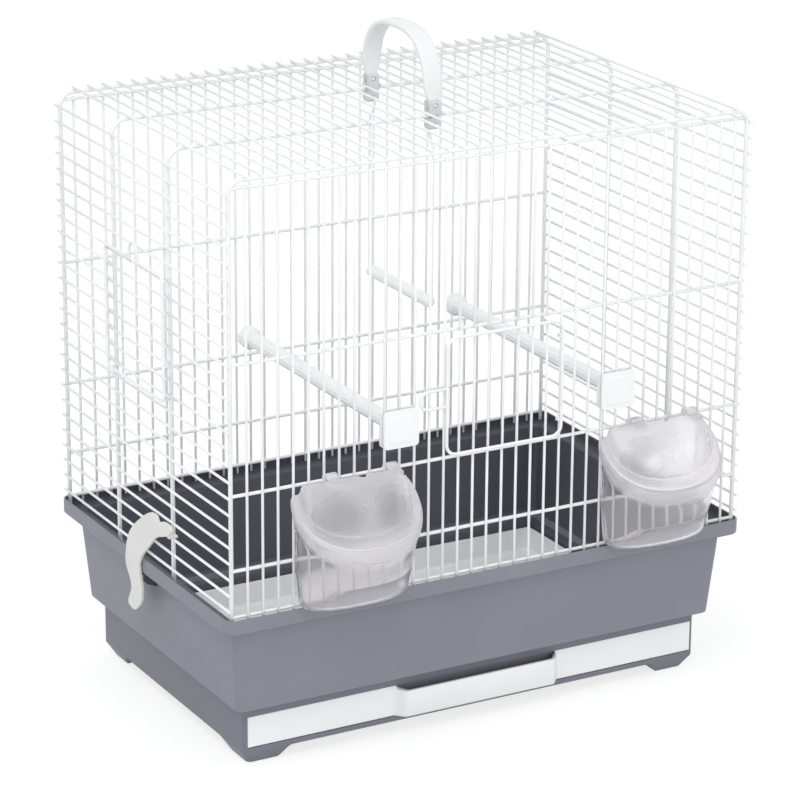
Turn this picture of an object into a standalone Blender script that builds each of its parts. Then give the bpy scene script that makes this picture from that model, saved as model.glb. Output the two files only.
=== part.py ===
"""Bird cage with a wire top on a moulded base and a pull-out drawer.

Metres, +Z up, front at -Y, origin on the ground under the middle of the whole cage.
The pieces are drawn about the middle of the base, and their root empty then moves
them back by half of what the feeders add in front.
"""

import math

import bmesh
import bpy
from mathutils import Matrix, Vector

# Clearances
FIT = 0.0003
WELD = 0.00035

# Wire top
CAGE_WIDTH = 0.420
CAGE_DEPTH = 0.275
CAGE_TOP = 0.4404
WIRE_PITCH = 0.012
WIRE_RADIUS = 0.0010
CROSS_RADIUS = 0.00125
HOOP_RADIUS = 0.0016
HOOP_BEND = 0.011
FRAME_BEND = 0.010
STUB = 0.003
FIRST_ROW = 0.131
ROW_PITCH = 0.012
CROSS_UNDER_TOP = 0.0058
CROSS_UNDER_DOOR = 0.2155
DOOR_OPENING_HEIGHT = 0.095
FEEDER_OPENING_HEIGHT = 0.0553

# Base
RIM_CLEARANCE = 0.0037
RIM_TOP = 0.1246
LEDGE_HEIGHT = 0.1177
LIP_WALL = 0.0016
LIP_HEIGHT = 0.0116
WALL_SET_IN = 0.011
WALL_TOP = 0.101
WALL_BOTTOM = 0.0467
WALL_TAPER = 0.0044
BASE_WALL = 0.0025
SKIRT_SET_IN = 0.008
SKIRT_TOP = 0.0395
SKIRT_BOTTOM = 0.010
FLOOR_TOP = 0.0143
FOOT_TAPER = 0.006
FOOT_LENGTH = 0.023
FOOT_CURVE = 0.010
BASE_CORNER = 0.010
RIM_CORNER = 0.008
SKIRT_CORNER = 0.004

# Drawer
DRAWER_HEIGHT = 0.0233
DRAWER_FACE = 0.003
PAN_HEIGHT = 0.0209
PAN_WALL = 0.0018
PAN_FLOOR = 0.0022
PAN_DRAFT = 0.0012
PULL_LENGTH = 0.124
PULL_RAMP = 0.009
PULL_REACH = 0.008
PULL_WALL = 0.0018

# Doors
DOOR_WIRE = 0.0012
DOOR_FIRST_WIRE = 14
DOOR_LAST_WIRE = 22
DOOR_GAP = 0.0030
DOOR_CORNER = 0.008
LATCH_REACH = 0.022
LATCH_HEIGHT = 0.0132
CURL_WIRE = 0.0008
SIDE_DOOR_FIRST_ROW = 11
SIDE_DOOR_LAST_ROW = 18
SIDE_DOOR_BOTTOM_GAP = 0.005
SIDE_DOOR_TOP_GAP = 0.003
LIFT_LOOP_WIDTH = 0.0124
LIFT_LOOP_HEIGHT = 0.013

# Feeders
FEEDER_FIRST_WIRES = (6, 27)
FEEDER_WIRES = 6
FEEDER_SHIFT = -0.004
FEEDER_HALF_WIDTH = 0.0475
FEEDER_REACH = 0.044
FEEDER_WALL = 0.0016
FEEDER_FLANGE = 0.0055
FEEDER_HEIGHT = 0.078
FEEDER_LIP_UNDER_WIRE = 0.0165
FEEDER_LIP_FALL = 0.024
FEEDER_LIP_BAND = 0.012
HOOD_OVER_WIRE = 0.003
HOOK_WIDTH = 0.0064
HOOK_WALL = 0.0018
HOOK_REACH = 0.0052

# Perches
PERCH_WIRES = (11, 26)
PERCH_OVER_WIRE = 0.0295
PERCH_RADIUS = 0.006
PERCH_LENGTH = 0.236
PERCH_PLATE = 0.028
PERCH_PLATE_THICKNESS = 0.003
PERCH_PEG = 0.0024
PERCH_BLOCK_RADIUS = 0.009
PERCH_BLOCK_LENGTH = 0.011

# Swing
SWING_BAR_RADIUS = 0.0045
SWING_DROP = 0.134
SWING_BAR_LENGTH = 0.092
SWING_WIRE = 0.0010
SWING_SOCKET = 0.008

# Carrying handle
HANDLE_RISE = 0.052
HANDLE_WIDTH = 0.019
HANDLE_THICKNESS = 0.003
HANDLE_FOOT_WIDTH = 0.006
HANDLE_PIN = 0.0015
HANDLE_PIVOT_RISE = 0.0076
CLIP_WIDTH = 0.0090
CLIP_DEPTH = 0.0092
CLIP_EYE_DROP = 0.0064

# Side clips
SIDE_CLIP_GAP = 0.0005
SIDE_CLIP_THICKNESS = 0.002
SIDE_CLIP_AXIS_DROP = 0.005
SIDE_CLIP_AXIS_IN = 0.0028
SIDE_CLIP_HORNS = (-0.051, -0.021)
SIDE_CLIP_OUTLINE = (
    (0.0160, -0.0231), (0.0063, -0.0038), (0.0207, 0.0080), (0.0163, 0.0294), (-0.0225, 0.0576),
    (-0.0347, 0.0543), (-0.0450, 0.0578), (-0.0570, 0.0568), (-0.0502, 0.0471), (-0.0313, 0.0413),
    (-0.0226, 0.0354), (-0.0051, 0.0204), (-0.0052, 0.0062), (-0.0088, -0.0059), (0.0026, -0.0239),
)
KNUCKLE_RADIUS = 0.0036
KNUCKLE_LENGTH = 0.010
EAR_THICKNESS = 0.002
PIN_RADIUS = 0.0010
PIN_LENGTH = 0.0018
CLIP_CENTRE = 0.002

# Values that follow from the sizes above
HALF_WIDTH = CAGE_WIDTH / 2
HALF_DEPTH = CAGE_DEPTH / 2
GAPS = round(CAGE_WIDTH / WIRE_PITCH)
WIRE_FOOT = LEDGE_HEIGHT + FIT
HEX_FLAT = math.cos(math.radians(30))
MIDDLE_HOOP = CAGE_DEPTH / 6
SIDE_WIRE_OUT = HALF_WIDTH + HOOP_RADIUS + WIRE_RADIUS - WELD
ROOF_WIRE_HEIGHT = CAGE_TOP + HOOP_RADIUS + WIRE_RADIUS - WELD
FRAME_OUT = SIDE_WIRE_OUT - WIRE_RADIUS - FIT - HOOP_RADIUS * HEX_FLAT
FRAME_TOP = ROOF_WIRE_HEIGHT - WIRE_RADIUS - FIT - HOOP_RADIUS * HEX_FLAT
FACE_WIRE_OUT = HALF_DEPTH + HOOP_RADIUS + WIRE_RADIUS - WELD
CROSS_OUT = FACE_WIRE_OUT - WIRE_RADIUS + WELD - CROSS_RADIUS
CROSS_TOP = CAGE_TOP - CROSS_UNDER_TOP
STUB_END = HALF_DEPTH + STUB
WELD_END = CROSS_RADIUS - 0.00005
FACE_WIRE_TOP = CROSS_TOP + WELD_END
ROWS = int((CAGE_TOP - HOOP_BEND * 0.8 - FIRST_ROW) / ROW_PITCH + 0.001) + 1
DOOR_OUT = FACE_WIRE_OUT + WIRE_RADIUS + FIT + DOOR_WIRE
RIM_X = HALF_WIDTH + RIM_CLEARANCE + LIP_WALL
RIM_Y = HALF_DEPTH + RIM_CLEARANCE + LIP_WALL
WALL_X = RIM_X - WALL_SET_IN
WALL_Y = RIM_Y - WALL_SET_IN
SKIRT_X = WALL_X - WALL_TAPER - SKIRT_SET_IN
SKIRT_Y = WALL_Y - WALL_TAPER - SKIRT_SET_IN
SLOT_X = SKIRT_X - BASE_WALL - 2 * FIT
SLOT_BOTTOM = FLOOR_TOP - FIT
SLOT_TOP = FLOOR_TOP + FIT + DRAWER_HEIGHT + FIT
FEEDER_BACK = RIM_Y + FIT
CROSS_OVER_DOOR = CROSS_UNDER_DOOR + DOOR_OPENING_HEIGHT
CROSS_UNDER_FEEDER = CROSS_UNDER_DOOR - FEEDER_OPENING_HEIGHT
FEEDER_LIP_BACK = CROSS_UNDER_DOOR - FEEDER_LIP_UNDER_WIRE
FEEDER_LIP_FRONT = FEEDER_LIP_BACK - FEEDER_LIP_FALL
FEEDER_BOTTOM = FEEDER_LIP_BACK - FEEDER_HEIGHT
HOOD_TOP = CROSS_UNDER_DOOR + HOOD_OVER_WIRE
PERCH_HEIGHT = CROSS_UNDER_DOOR + PERCH_OVER_WIRE
SWING_EYE = CAGE_TOP - CLIP_EYE_DROP
SWING_BAR_HEIGHT = SWING_EYE - SWING_DROP
HANDLE_PIVOT = CAGE_TOP + HANDLE_PIVOT_RISE
HANDLE_TOP = HANDLE_PIVOT + HANDLE_RISE

X_AXIS = Vector((1, 0, 0))
Y_AXIS = Vector((0, 1, 0))
Z_AXIS = Vector((0, 0, 1))


def wire_x(index):
    """Centre of a face or roof wire, counted from the left corner."""
    return -HALF_WIDTH + index * CAGE_WIDTH / GAPS


def row_z(index):
    """Height of a side wire, counted from 1 at the bottom."""
    return FIRST_ROW + (index - 1) * ROW_PITCH


def material(name, colour, roughness, transmission=0.0):
    """One Principled material."""
    mat = bpy.data.materials.new(name)
    mat.use_nodes = True
    shader = mat.node_tree.nodes["Principled BSDF"]
    shader.inputs["Base Color"].default_value = (*colour, 1.0)
    shader.inputs["Roughness"].default_value = roughness
    shader.inputs["Transmission Weight"].default_value = transmission
    return mat


def build(name, pieces, mat=None, smooth=40):
    """Make an object from a list of (points, faces) shells."""
    bm = bmesh.new()
    for points, faces in pieces:
        made = [bm.verts.new(p) for p in points]
        for face in faces:
            bm.faces.new([made[i] for i in face])
    bmesh.ops.recalc_face_normals(bm, faces=bm.faces)
    mesh = bpy.data.meshes.new(name)
    bm.to_mesh(mesh)
    bm.free()
    mesh.shade_smooth()
    mesh.set_sharp_from_angle(angle=math.radians(smooth))
    obj = bpy.data.objects.new(name, mesh)
    bpy.context.scene.collection.objects.link(obj)
    if mat:
        mesh.materials.append(mat)
    return obj


def boolean(obj, other, operation):
    """Join or cut with another object, which stays as a hidden guide."""
    mod = obj.modifiers.new(other.name, "BOOLEAN")
    mod.operation = operation
    mod.object = other
    mod.solver = "EXACT"
    other.hide_render = True
    other.display_type = "WIRE"
    return mod


def join(obj, other):
    """Boolean union."""
    return boolean(obj, other, "UNION")


def cut(obj, other):
    """Boolean difference."""
    return boolean(obj, other, "DIFFERENCE")


def hang(point, name, *objects):
    """Parent objects to an empty on their joint's axis."""
    empty = bpy.data.objects.new(name, None)
    empty.empty_display_size = 0.02
    empty.location = point
    bpy.context.scene.collection.objects.link(empty)
    for obj in objects:
        obj.parent = empty
        obj.matrix_parent_inverse = Matrix.Translation(-Vector(point))
        for mod in obj.modifiers:
            guide = getattr(mod, "object", None)
            if guide and guide.parent is None:
                guide.parent = empty
                guide.matrix_parent_inverse = Matrix.Translation(-Vector(point))
    return empty


def loft(rings, closed_path=False):
    """Skin between rings of equal point counts, with both ends capped."""
    count = len(rings[0])
    points = [Vector(p) for ring in rings for p in ring]
    faces = []
    spans = len(rings) if closed_path else len(rings) - 1
    for i in range(spans):
        a = i * count
        b = (i + 1) % len(rings) * count
        for k in range(count):
            j = (k + 1) % count
            faces.append((a + k, a + j, b + j, b + k))
    if not closed_path:
        faces.append(tuple(range(count)))
        faces.append(tuple(range(len(points) - count, len(points))))
    return points, faces


def sweep(path, radius, sides, normal, turn=0.0, closed=False):
    """Round wire along a plane path; one edge points along the plane's normal."""
    path = [Vector(p) for p in path]
    normal = Vector(normal)
    rings = []
    for i, point in enumerate(path):
        before = path[i - 1] if i or closed else None
        after = path[(i + 1) % len(path)] if i + 1 < len(path) or closed else None
        one = (point - before).normalized() if before else None
        two = (after - point).normalized() if after else None
        along = ((one or two) + (two or one)).normalized()
        across = normal.cross(along).normalized()
        stretch = 1 / max(0.3, along.dot(two or one))
        ring = []
        for k in range(sides):
            angle = turn + 2 * math.pi * k / sides
            ring.append(point + radius * (math.cos(angle) * normal + math.sin(angle) * stretch * across))
        rings.append(ring)
    return loft(rings, closed)


def bar(start, end, radius, normal):
    """Straight four-sided wire with an edge along the normal."""
    return sweep((start, end), radius, 4, normal)


def arc(centre, one, two, radius, first, last, steps):
    """Points of a circular arc between two angles in degrees."""
    points = []
    for i in range(steps + 1):
        angle = math.radians(first + (last - first) * i / steps)
        points.append(Vector(centre) + radius * (math.cos(angle) * one + math.sin(angle) * two))
    return points


def box(low, high):
    """Closed box between two corners."""
    (a, b, c), (d, e, f) = low, high
    ring = [(a, b), (d, b), (d, e), (a, e)]
    return loft([[(x, y, z) for x, y in ring] for z in (c, f)])


def cylinder(start, end, radius, sides=16, turn=0.0):
    """Closed cylinder between two points."""
    start, end = Vector(start), Vector(end)
    along = (end - start).normalized()
    side = Z_AXIS if abs(along.z) < 0.9 else X_AXIS
    return sweep((start, end), radius, sides, along.cross(side).normalized(), turn)


def rounded_rectangle(half_x, half_y, radius, height, steps=4, shift=0.0):
    """Ring of points around a rectangle with round corners."""
    points = []
    for quarter, (sx, sy) in enumerate(((1, 1), (-1, 1), (-1, -1), (1, -1))):
        centre = Vector((sx * (half_x - radius), sy * (half_y - radius) + shift, height))
        points += arc(centre, X_AXIS, Y_AXIS, radius, 90 * quarter, 90 * quarter + 90, steps)
    return points


def extrude(outline, along):
    """Prism of a flat outline."""
    along = Vector(along)
    ring = [Vector(p) for p in outline]
    return loft([ring, [p + along for p in ring]])


def hoop_path(y, first, last, steps):
    """Left half of a middle hoop's bend between two angles above the horizontal."""
    centre = Vector((-HALF_WIDTH + HOOP_BEND, y, CAGE_TOP - HOOP_BEND))
    return arc(centre, -X_AXIS, Z_AXIS, HOOP_BEND, first, last, steps)


def face_frame(name, sign):
    """Bent frame of the front or back panel with its cross wires."""
    y = sign * HALF_DEPTH
    low = WIRE_FOOT
    left = Vector((-FRAME_OUT + FRAME_BEND, y, FRAME_TOP - FRAME_BEND))
    right = Vector((FRAME_OUT - FRAME_BEND, y, FRAME_TOP - FRAME_BEND))
    path = [Vector((-FRAME_OUT, y, low))]
    path += arc(left, -X_AXIS, Z_AXIS, FRAME_BEND, 0, 90, 5)
    path += arc(right, Z_AXIS, X_AXIS, FRAME_BEND, 0, 90, 5)
    path += [Vector((FRAME_OUT, y, low))]
    frame = build(name + "_frame", [sweep(path, HOOP_RADIUS, 6, Y_AXIS)])
    heights = (CROSS_UNDER_FEEDER, CROSS_UNDER_DOOR, CROSS_OVER_DOOR, CROSS_TOP)
    cross_y = sign * CROSS_OUT
    bars = [bar((-FRAME_OUT, cross_y, z), (FRAME_OUT, cross_y, z), CROSS_RADIUS, Y_AXIS) for z in heights]
    join(frame, build(name + "_cross_wires", bars))
    return frame


def face_wires(name, sign, openings, mat):
    """Upright wires of the front or back panel, cut away inside each opening."""
    y = sign * FACE_WIRE_OUT
    bars = []
    for k in range(1, GAPS):
        x = wire_x(k)
        spans = [(WIRE_FOOT, FACE_WIRE_TOP)]
        for first, last, low, high in openings:
            if first <= k <= last:
                spans = [(spans[0][0], low + WELD_END), (high - WELD_END, spans[0][1])]
        for low, high in spans:
            bars.append(bar((x, y, low), (x, y, high), WIRE_RADIUS, Y_AXIS))
    return build(name, bars, mat)


def make_front_grille(mat):
    """Front panel with the door opening and the two feeder openings."""
    openings = [(DOOR_FIRST_WIRE + 1, DOOR_LAST_WIRE - 1, CROSS_UNDER_DOOR, CROSS_OVER_DOOR)]
    for first in FEEDER_FIRST_WIRES:
        openings.append((first, first + FEEDER_WIRES - 1, CROSS_UNDER_FEEDER, CROSS_UNDER_DOOR))
    grille = face_wires("front_grille", -1, openings, mat)
    join(grille, face_frame("front_grille", -1))
    return grille


def make_back_grille(mat):
    """Plain back panel."""
    grille = face_wires("back_grille", 1, [], mat)
    join(grille, face_frame("back_grille", 1))
    return grille


def make_side_grille(name, side, door, mat):
    """Side panel: level wires over the legs of the two middle hoops."""
    x = side * SIDE_WIRE_OUT
    end = MIDDLE_HOOP - HOOP_RADIUS + FIT
    bars = []
    for row in range(1, ROWS + 1):
        z = row_z(row)
        spans = [(-STUB_END, STUB_END)]
        if door and SIDE_DOOR_FIRST_ROW < row <= SIDE_DOOR_LAST_ROW + 1:
            spans = [(-STUB_END, -end), (end, STUB_END)]
        for near, far in spans:
            bars.append(bar((x, near, z), (x, far, z), WIRE_RADIUS, X_AXIS))
    grille = build(name, bars, mat)
    legs = []
    for y in (-MIDDLE_HOOP, MIDDLE_HOOP):
        path = [Vector((-HALF_WIDTH, y, WIRE_FOOT))] + hoop_path(y, 0, 30, 2)
        path = [Vector((-side * p.x, p.y, p.z)) for p in path]
        legs.append(sweep(path, HOOP_RADIUS, 6, Y_AXIS, math.pi / 2))
    join(grille, build(name + "_legs", legs))
    return grille


def make_roof_grille(mat):
    """Roof panel: wires over the bent tops of the two middle hoops."""
    z = ROOF_WIRE_HEIGHT
    bars = []
    for k in range(1, GAPS):
        x = wire_x(k)
        bars.append(bar((x, -STUB_END, z), (x, STUB_END, z), WIRE_RADIUS, Z_AXIS))
    roof = build("roof_grille", bars, mat)
    start = 30 + math.degrees(3 * FIT / HOOP_BEND)
    tops = []
    for y in (-MIDDLE_HOOP, MIDDLE_HOOP):
        half = hoop_path(y, start, 90, 4)
        path = half + [Vector((-p.x, p.y, p.z)) for p in reversed(half)]
        tops.append(sweep(path, HOOP_RADIUS, 6, Y_AXIS, math.pi / 2))
    join(roof, build("roof_grille_hoops", tops))
    return roof


def foot_arch(half_length, depth, along_x):
    """Cutter that leaves two feet: a long opening with S-shaped ends."""
    flat = half_length - FOOT_TAPER - FOOT_LENGTH
    outline = [(-flat, -0.002)]
    for i in range(7):
        t = i / 6
        rise = SKIRT_BOTTOM * (1 - math.cos(math.pi * t)) / 2
        outline.append((-flat + FOOT_CURVE * t, rise))
    outline += [(-a, z) for a, z in reversed(outline)]
    if along_x:
        return extrude([(a, -depth, z) for a, z in outline], (0, 2 * depth, 0))
    return extrude([(-depth, a, z) for a, z in outline], (2 * depth, 0, 0))


def make_tray(mat):
    """Moulded base: feet, skirt, tapered wall, rolled rim and wire channel."""
    wall_x, wall_y = WALL_X - WALL_TAPER, WALL_Y - WALL_TAPER
    lip_bottom = RIM_TOP - LIP_HEIGHT
    r = BASE_CORNER
    rim = RIM_CORNER

    def ring(x_in, z, radius, base=(RIM_X, RIM_Y)):
        return rounded_rectangle(base[0] - x_in, base[1] - x_in, radius, z, 3)

    wall = (WALL_X, WALL_Y)
    low = (wall_x, wall_y)
    skirt = (SKIRT_X, SKIRT_Y)
    inner = BASE_WALL
    rings = [
        ring(FOOT_TAPER, 0, SKIRT_CORNER, skirt),
        ring(0, SKIRT_BOTTOM, SKIRT_CORNER, skirt),
        ring(0, SKIRT_TOP, SKIRT_CORNER, skirt),
        ring(0, WALL_BOTTOM, r, low),
        ring(0, WALL_TOP, r, wall),
        ring(-0.001, WALL_TOP + 0.006, r, wall),
        ring(-0.005, WALL_TOP + 0.0105, r, wall),
        ring(0.001, lip_bottom, rim),
        ring(0, lip_bottom + 0.001, rim),
        ring(0, RIM_TOP - 0.0006, rim),
        ring(0.0004, RIM_TOP, rim),
        ring(LIP_WALL - 0.0003, RIM_TOP, rim - LIP_WALL),
        ring(LIP_WALL, RIM_TOP - 0.0005, rim - LIP_WALL),
        ring(LIP_WALL, LEDGE_HEIGHT, rim - LIP_WALL),
        ring(0.001, LEDGE_HEIGHT, r, (WALL_X, WALL_Y)),
        ring(inner, LEDGE_HEIGHT - 0.0015, r - inner, wall),
        ring(inner, WALL_TOP, r - inner, wall),
        ring(inner, WALL_BOTTOM + 0.001, r - inner, low),
        ring(inner, SKIRT_TOP + 0.001, SKIRT_CORNER / 2, skirt),
        ring(inner, FLOOR_TOP, SKIRT_CORNER / 2, skirt),
    ]
    tray = build("tray_body", [loft(rings)], mat, 30)
    arches = build("foot_arch_front", [foot_arch(SKIRT_X, RIM_Y, True)])
    cut(tray, arches)
    cut(tray, build("foot_arch_side", [foot_arch(SKIRT_Y, RIM_X, False)]))
    slot = box((-SLOT_X, -RIM_Y, SLOT_BOTTOM), (SLOT_X, -SKIRT_Y + 2 * BASE_WALL, SLOT_TOP))
    cut(tray, build("drawer_slot", [slot]))
    for side in (-1, 1):
        add_clip_ears(tray, side)
    return tray


def clip_axis(side):
    """A point on the hinge axis of a side clip."""
    return Vector((side * (RIM_X - SIDE_CLIP_AXIS_IN), CLIP_CENTRE, RIM_TOP - LIP_HEIGHT - SIDE_CLIP_AXIS_DROP))


def add_clip_ears(tray, side):
    """Two ears under the rim, bored for the clip's pin."""
    axis = clip_axis(side)
    ears = []
    for way in (-1, 1):
        near = CLIP_CENTRE + way * (KNUCKLE_LENGTH / 2 + FIT)
        far = near + way * EAR_THICKNESS
        outline = [
            (side * (WALL_X - BASE_WALL / 2), axis.z - 0.0075),
            (axis.x, axis.z - KNUCKLE_RADIUS),
            (axis.x + side * KNUCKLE_RADIUS * 0.6, axis.z - 0.001),
            (axis.x + side * KNUCKLE_RADIUS * 0.6, RIM_TOP - LIP_HEIGHT + 0.0015),
            (side * (WALL_X - BASE_WALL / 2), RIM_TOP - LIP_HEIGHT + 0.0015),
        ]
        ears.append(extrude([(x, near, z) for x, z in outline], (0, far - near, 0)))
    tag = "left" if side < 0 else "right"
    join(tray, build("clip_ears_" + tag, ears))
    reach = KNUCKLE_LENGTH / 2 + EAR_THICKNESS + 0.002
    bore = cylinder(axis - reach * Y_AXIS, axis + reach * Y_AXIS, PIN_RADIUS + FIT, 10)
    cut(tray, build("clip_bore_" + tag, [bore]))


def make_drawer_pan(mat):
    """Shallow open pan that slides in over the floor."""
    half_x = SLOT_X - 2 * FIT
    front = -SKIRT_Y + FIT + DRAWER_FACE + FIT
    back = SKIRT_Y - BASE_WALL - 2 * FIT
    half_y, middle = (back - front) / 2, (back + front) / 2
    bottom = FLOOR_TOP + FIT
    top = bottom + PAN_HEIGHT

    def ring(x_in, z, radius):
        return rounded_rectangle(half_x - x_in, half_y - x_in, radius, z, 3, middle)

    rings = [
        ring(PAN_DRAFT + 0.0008, bottom, 0.0032),
        ring(PAN_DRAFT, bottom + 0.0008, 0.004),
        ring(0, top, 0.004),
        ring(PAN_WALL, top, 0.0022),
        ring(PAN_WALL + PAN_DRAFT, bottom + PAN_FLOOR + 0.002, 0.0022),
        ring(PAN_WALL + PAN_DRAFT + 0.002, bottom + PAN_FLOOR, 0.002),
    ]
    return build("drawer_pan", [loft(rings)], mat, 30)


def make_drawer_front(mat):
    """Drawer face with a long pull that is hollow underneath."""
    front = -SKIRT_Y + FIT
    back = front + DRAWER_FACE
    bottom = FLOOR_TOP + FIT
    top = bottom + DRAWER_HEIGHT
    half = SLOT_X - FIT
    inner = PULL_LENGTH / 2
    rings = []
    for x, reach in ((-half, 0), (-inner - PULL_RAMP, 0), (-inner, PULL_REACH), (inner, PULL_REACH),
                     (inner + PULL_RAMP, 0), (half, 0)):
        rings.append([
            (x, back, bottom), (x, back, top), (x, front, top), (x, front - reach, top - 0.0035),
            (x, front - reach, bottom + 0.0045), (x, front - reach * 0.55, bottom + 0.001), (x, front, bottom),
        ])
    face = build("drawer_front", [loft(rings)], mat, 30)
    hollow = box((-inner, front - PULL_REACH + PULL_WALL, bottom - 0.004),
                 (inner, front - 0.0006, top - 0.0065))
    cut(face, build("finger_hollow", [hollow]))
    return face


def make_front_door(mat):
    """Hinged wire door with its latch loop and two hinge curls."""
    y = -DOOR_OUT
    left, right = wire_x(DOOR_FIRST_WIRE) + 0.001, wire_x(DOOR_LAST_WIRE)
    low, high = CROSS_UNDER_DOOR + DOOR_GAP, CROSS_OVER_DOOR - DOOR_GAP - 0.002
    r = DOOR_CORNER
    path = []
    for quarter, (cx, cz) in enumerate(((right - r, high - r), (left + r, high - r), (left + r, low + r),
                                        (right - r, low + r))):
        path += arc((cx, y, cz), X_AXIS, Z_AXIS, r, 90 * quarter, 90 * quarter + 90, 3)
    frame = build("front_door_frame", [sweep(path, DOOR_WIRE, 6, Y_AXIS, 0, True)])
    inner_y = y + DOOR_WIRE + WIRE_RADIUS - WELD
    bars = []
    for k in range(DOOR_FIRST_WIRE + 1, DOOR_LAST_WIRE):
        x = wire_x(k)
        bars.append(bar((x, inner_y, low - DOOR_WIRE), (x, inner_y, high + DOOR_WIRE), WIRE_RADIUS, Y_AXIS))
    door = build("front_door", bars, mat)
    join(door, frame)
    middle = (low + high) / 2
    half = LATCH_HEIGHT / 2
    tip = left - LATCH_REACH + half
    loop = [Vector((left, y, middle + half))]
    loop += arc((tip, y, middle), Z_AXIS, -X_AXIS, half, 0, 180, 6)
    loop += [Vector((left, y, middle - half))]
    join(door, build("front_door_latch", [sweep(loop, DOOR_WIRE * 0.98, 6, Y_AXIS)]))
    axis = Vector((right, -FACE_WIRE_OUT, middle))
    curl_radius = WIRE_RADIUS + FIT + CURL_WIRE + 0.00005
    curls = []
    for z in (low + 0.012, high - 0.012):
        ring = arc((axis.x, axis.y, z), X_AXIS, Y_AXIS, curl_radius, 0, 324, 9)
        curls.append(sweep(ring, CURL_WIRE, 4, Z_AXIS, 0, True))
    join(door, build("front_door_curls", curls))
    hang(axis, "front_door_axis", door)
    return door


def make_side_door(mat):
    """Wire door that lifts on the two middle hoops of the left side."""
    wire_out = -SIDE_WIRE_OUT - 2 * WIRE_RADIUS - FIT - 0.0001
    x = wire_out - WIRE_RADIUS - DOOR_WIRE + WELD
    half = MIDDLE_HOOP + 0.0015
    low = row_z(SIDE_DOOR_FIRST_ROW + 1) - SIDE_DOOR_BOTTOM_GAP
    high = row_z(SIDE_DOOR_LAST_ROW + 1) + SIDE_DOOR_TOP_GAP
    r = DOOR_CORNER / 2
    loop = LIFT_LOOP_WIDTH / 2
    path = arc((x, half - r, high - r), Y_AXIS, Z_AXIS, r, 0, 90, 3)
    path += [Vector((x, loop, high))]
    path += arc((x, 0, high + LIFT_LOOP_HEIGHT - loop), Y_AXIS, Z_AXIS, loop, 0, 180, 6)
    path += [Vector((x, -loop, high))]
    path += arc((x, -half + r, high - r), Y_AXIS, Z_AXIS, r, 90, 180, 3)
    path += arc((x, -half + r, low + r), Y_AXIS, Z_AXIS, r, 180, 270, 3)
    path += arc((x, half - r, low + r), Y_AXIS, Z_AXIS, r, 270, 360, 3)
    frame = build("side_door_frame", [sweep(path, DOOR_WIRE, 6, X_AXIS, 0, True)])
    bars = []
    for row in range(SIDE_DOOR_FIRST_ROW + 1, SIDE_DOOR_LAST_ROW + 2):
        z = row_z(row)
        bars.append(bar((wire_out, -half - 0.001, z), (wire_out, half + 0.001, z), WIRE_RADIUS, X_AXIS))
    door = build("side_door", bars, mat)
    join(door, frame)
    leg = MIDDLE_HOOP - HOOP_RADIUS * HEX_FLAT - FIT - WIRE_RADIUS
    inside = -HALF_WIDTH + HOOP_RADIUS + FIT + WIRE_RADIUS + 0.0001
    hooks = []
    for side in (-1, 1):
        hook = [(x, side * leg, low), (inside, side * leg, low), (inside, side * (MIDDLE_HOOP + 0.003), low)]
        hooks.append(sweep(hook, WIRE_RADIUS, 4, Z_AXIS))
    join(door, build("side_door_hooks", hooks))
    hang(Vector((-HALF_WIDTH, 0, low)), "side_door_guide", door)
    return door


def feeder_centre(first):
    """Middle of the wires that a feeder opening cuts away."""
    return wire_x(first + (FEEDER_WIRES - 1) / 2)


def cup_ring(centre, half, reach, z_back, z_front, steps=12):
    """Half-oval ring with a straight back, level or tilted to the front."""
    points = []
    for i in range(steps + 1):
        t = math.pi * i / steps
        s = math.sin(t)
        points.append((centre + half * math.cos(t), -FEEDER_BACK - reach * s, z_back + (z_front - z_back) * s))
    return points


def inner_ring(centre, half, reach, z_back, z_front, wall, steps=12):
    """The same ring one wall further in, on every side."""
    points = []
    slope = (z_front - z_back) / reach
    for i in range(steps + 1):
        t = math.pi * i / steps
        s = math.sin(t)
        y = wall + (reach - 2 * wall) * s
        points.append((centre + (half - wall) * math.cos(t), -FEEDER_BACK - y, z_back + slope * y))
    return points


def make_feeder_cup(name, first, mat):
    """Clear cup: rounded bottom, flared lip band and a low back."""
    centre = feeder_centre(first) + FEEDER_SHIFT
    half, reach, wall = FEEDER_HALF_WIDTH, FEEDER_REACH, FEEDER_WALL
    bottom = FEEDER_BOTTOM
    band = FEEDER_LIP_BAND
    under = FEEDER_LIP_FRONT - band
    body = [
        (half * 0.50, reach * 0.50, bottom, bottom),
        (half * 0.68, reach * 0.68, bottom + 0.0025, bottom + 0.0025),
        (half * 0.80, reach * 0.80, bottom + 0.010, bottom + 0.009),
        (half * 0.86, reach * 0.86, bottom + 0.026, bottom + 0.022),
        (half * 0.90, reach * 0.90, FEEDER_LIP_BACK - band - 0.003, under - 0.003),
    ]
    lip = [
        (half, reach, FEEDER_LIP_BACK - band, under),
        (half, reach, FEEDER_LIP_BACK, FEEDER_LIP_FRONT),
    ]
    rings = [cup_ring(centre, *size) for size in body + lip]
    rings += [inner_ring(centre, *size, wall) for size in reversed(lip)]
    inside = [inner_ring(centre, *size, wall) for size in reversed(body[1:])]
    inside[-1] = inner_ring(centre, half * 0.66, reach * 0.66, bottom + 0.0045, bottom + 0.0045, wall)
    rings += inside
    cup = build(name, [loft(rings)], mat, 35)
    mouth = box((centre - half * 0.80, -FEEDER_BACK - wall * 2.2, CROSS_UNDER_FEEDER + 0.004),
                (centre + half * 0.80, -FEEDER_BACK + 0.004, FEEDER_LIP_BACK + 0.006))
    cut(cup, build(name + "_mouth", [mouth]))
    return cup


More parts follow.
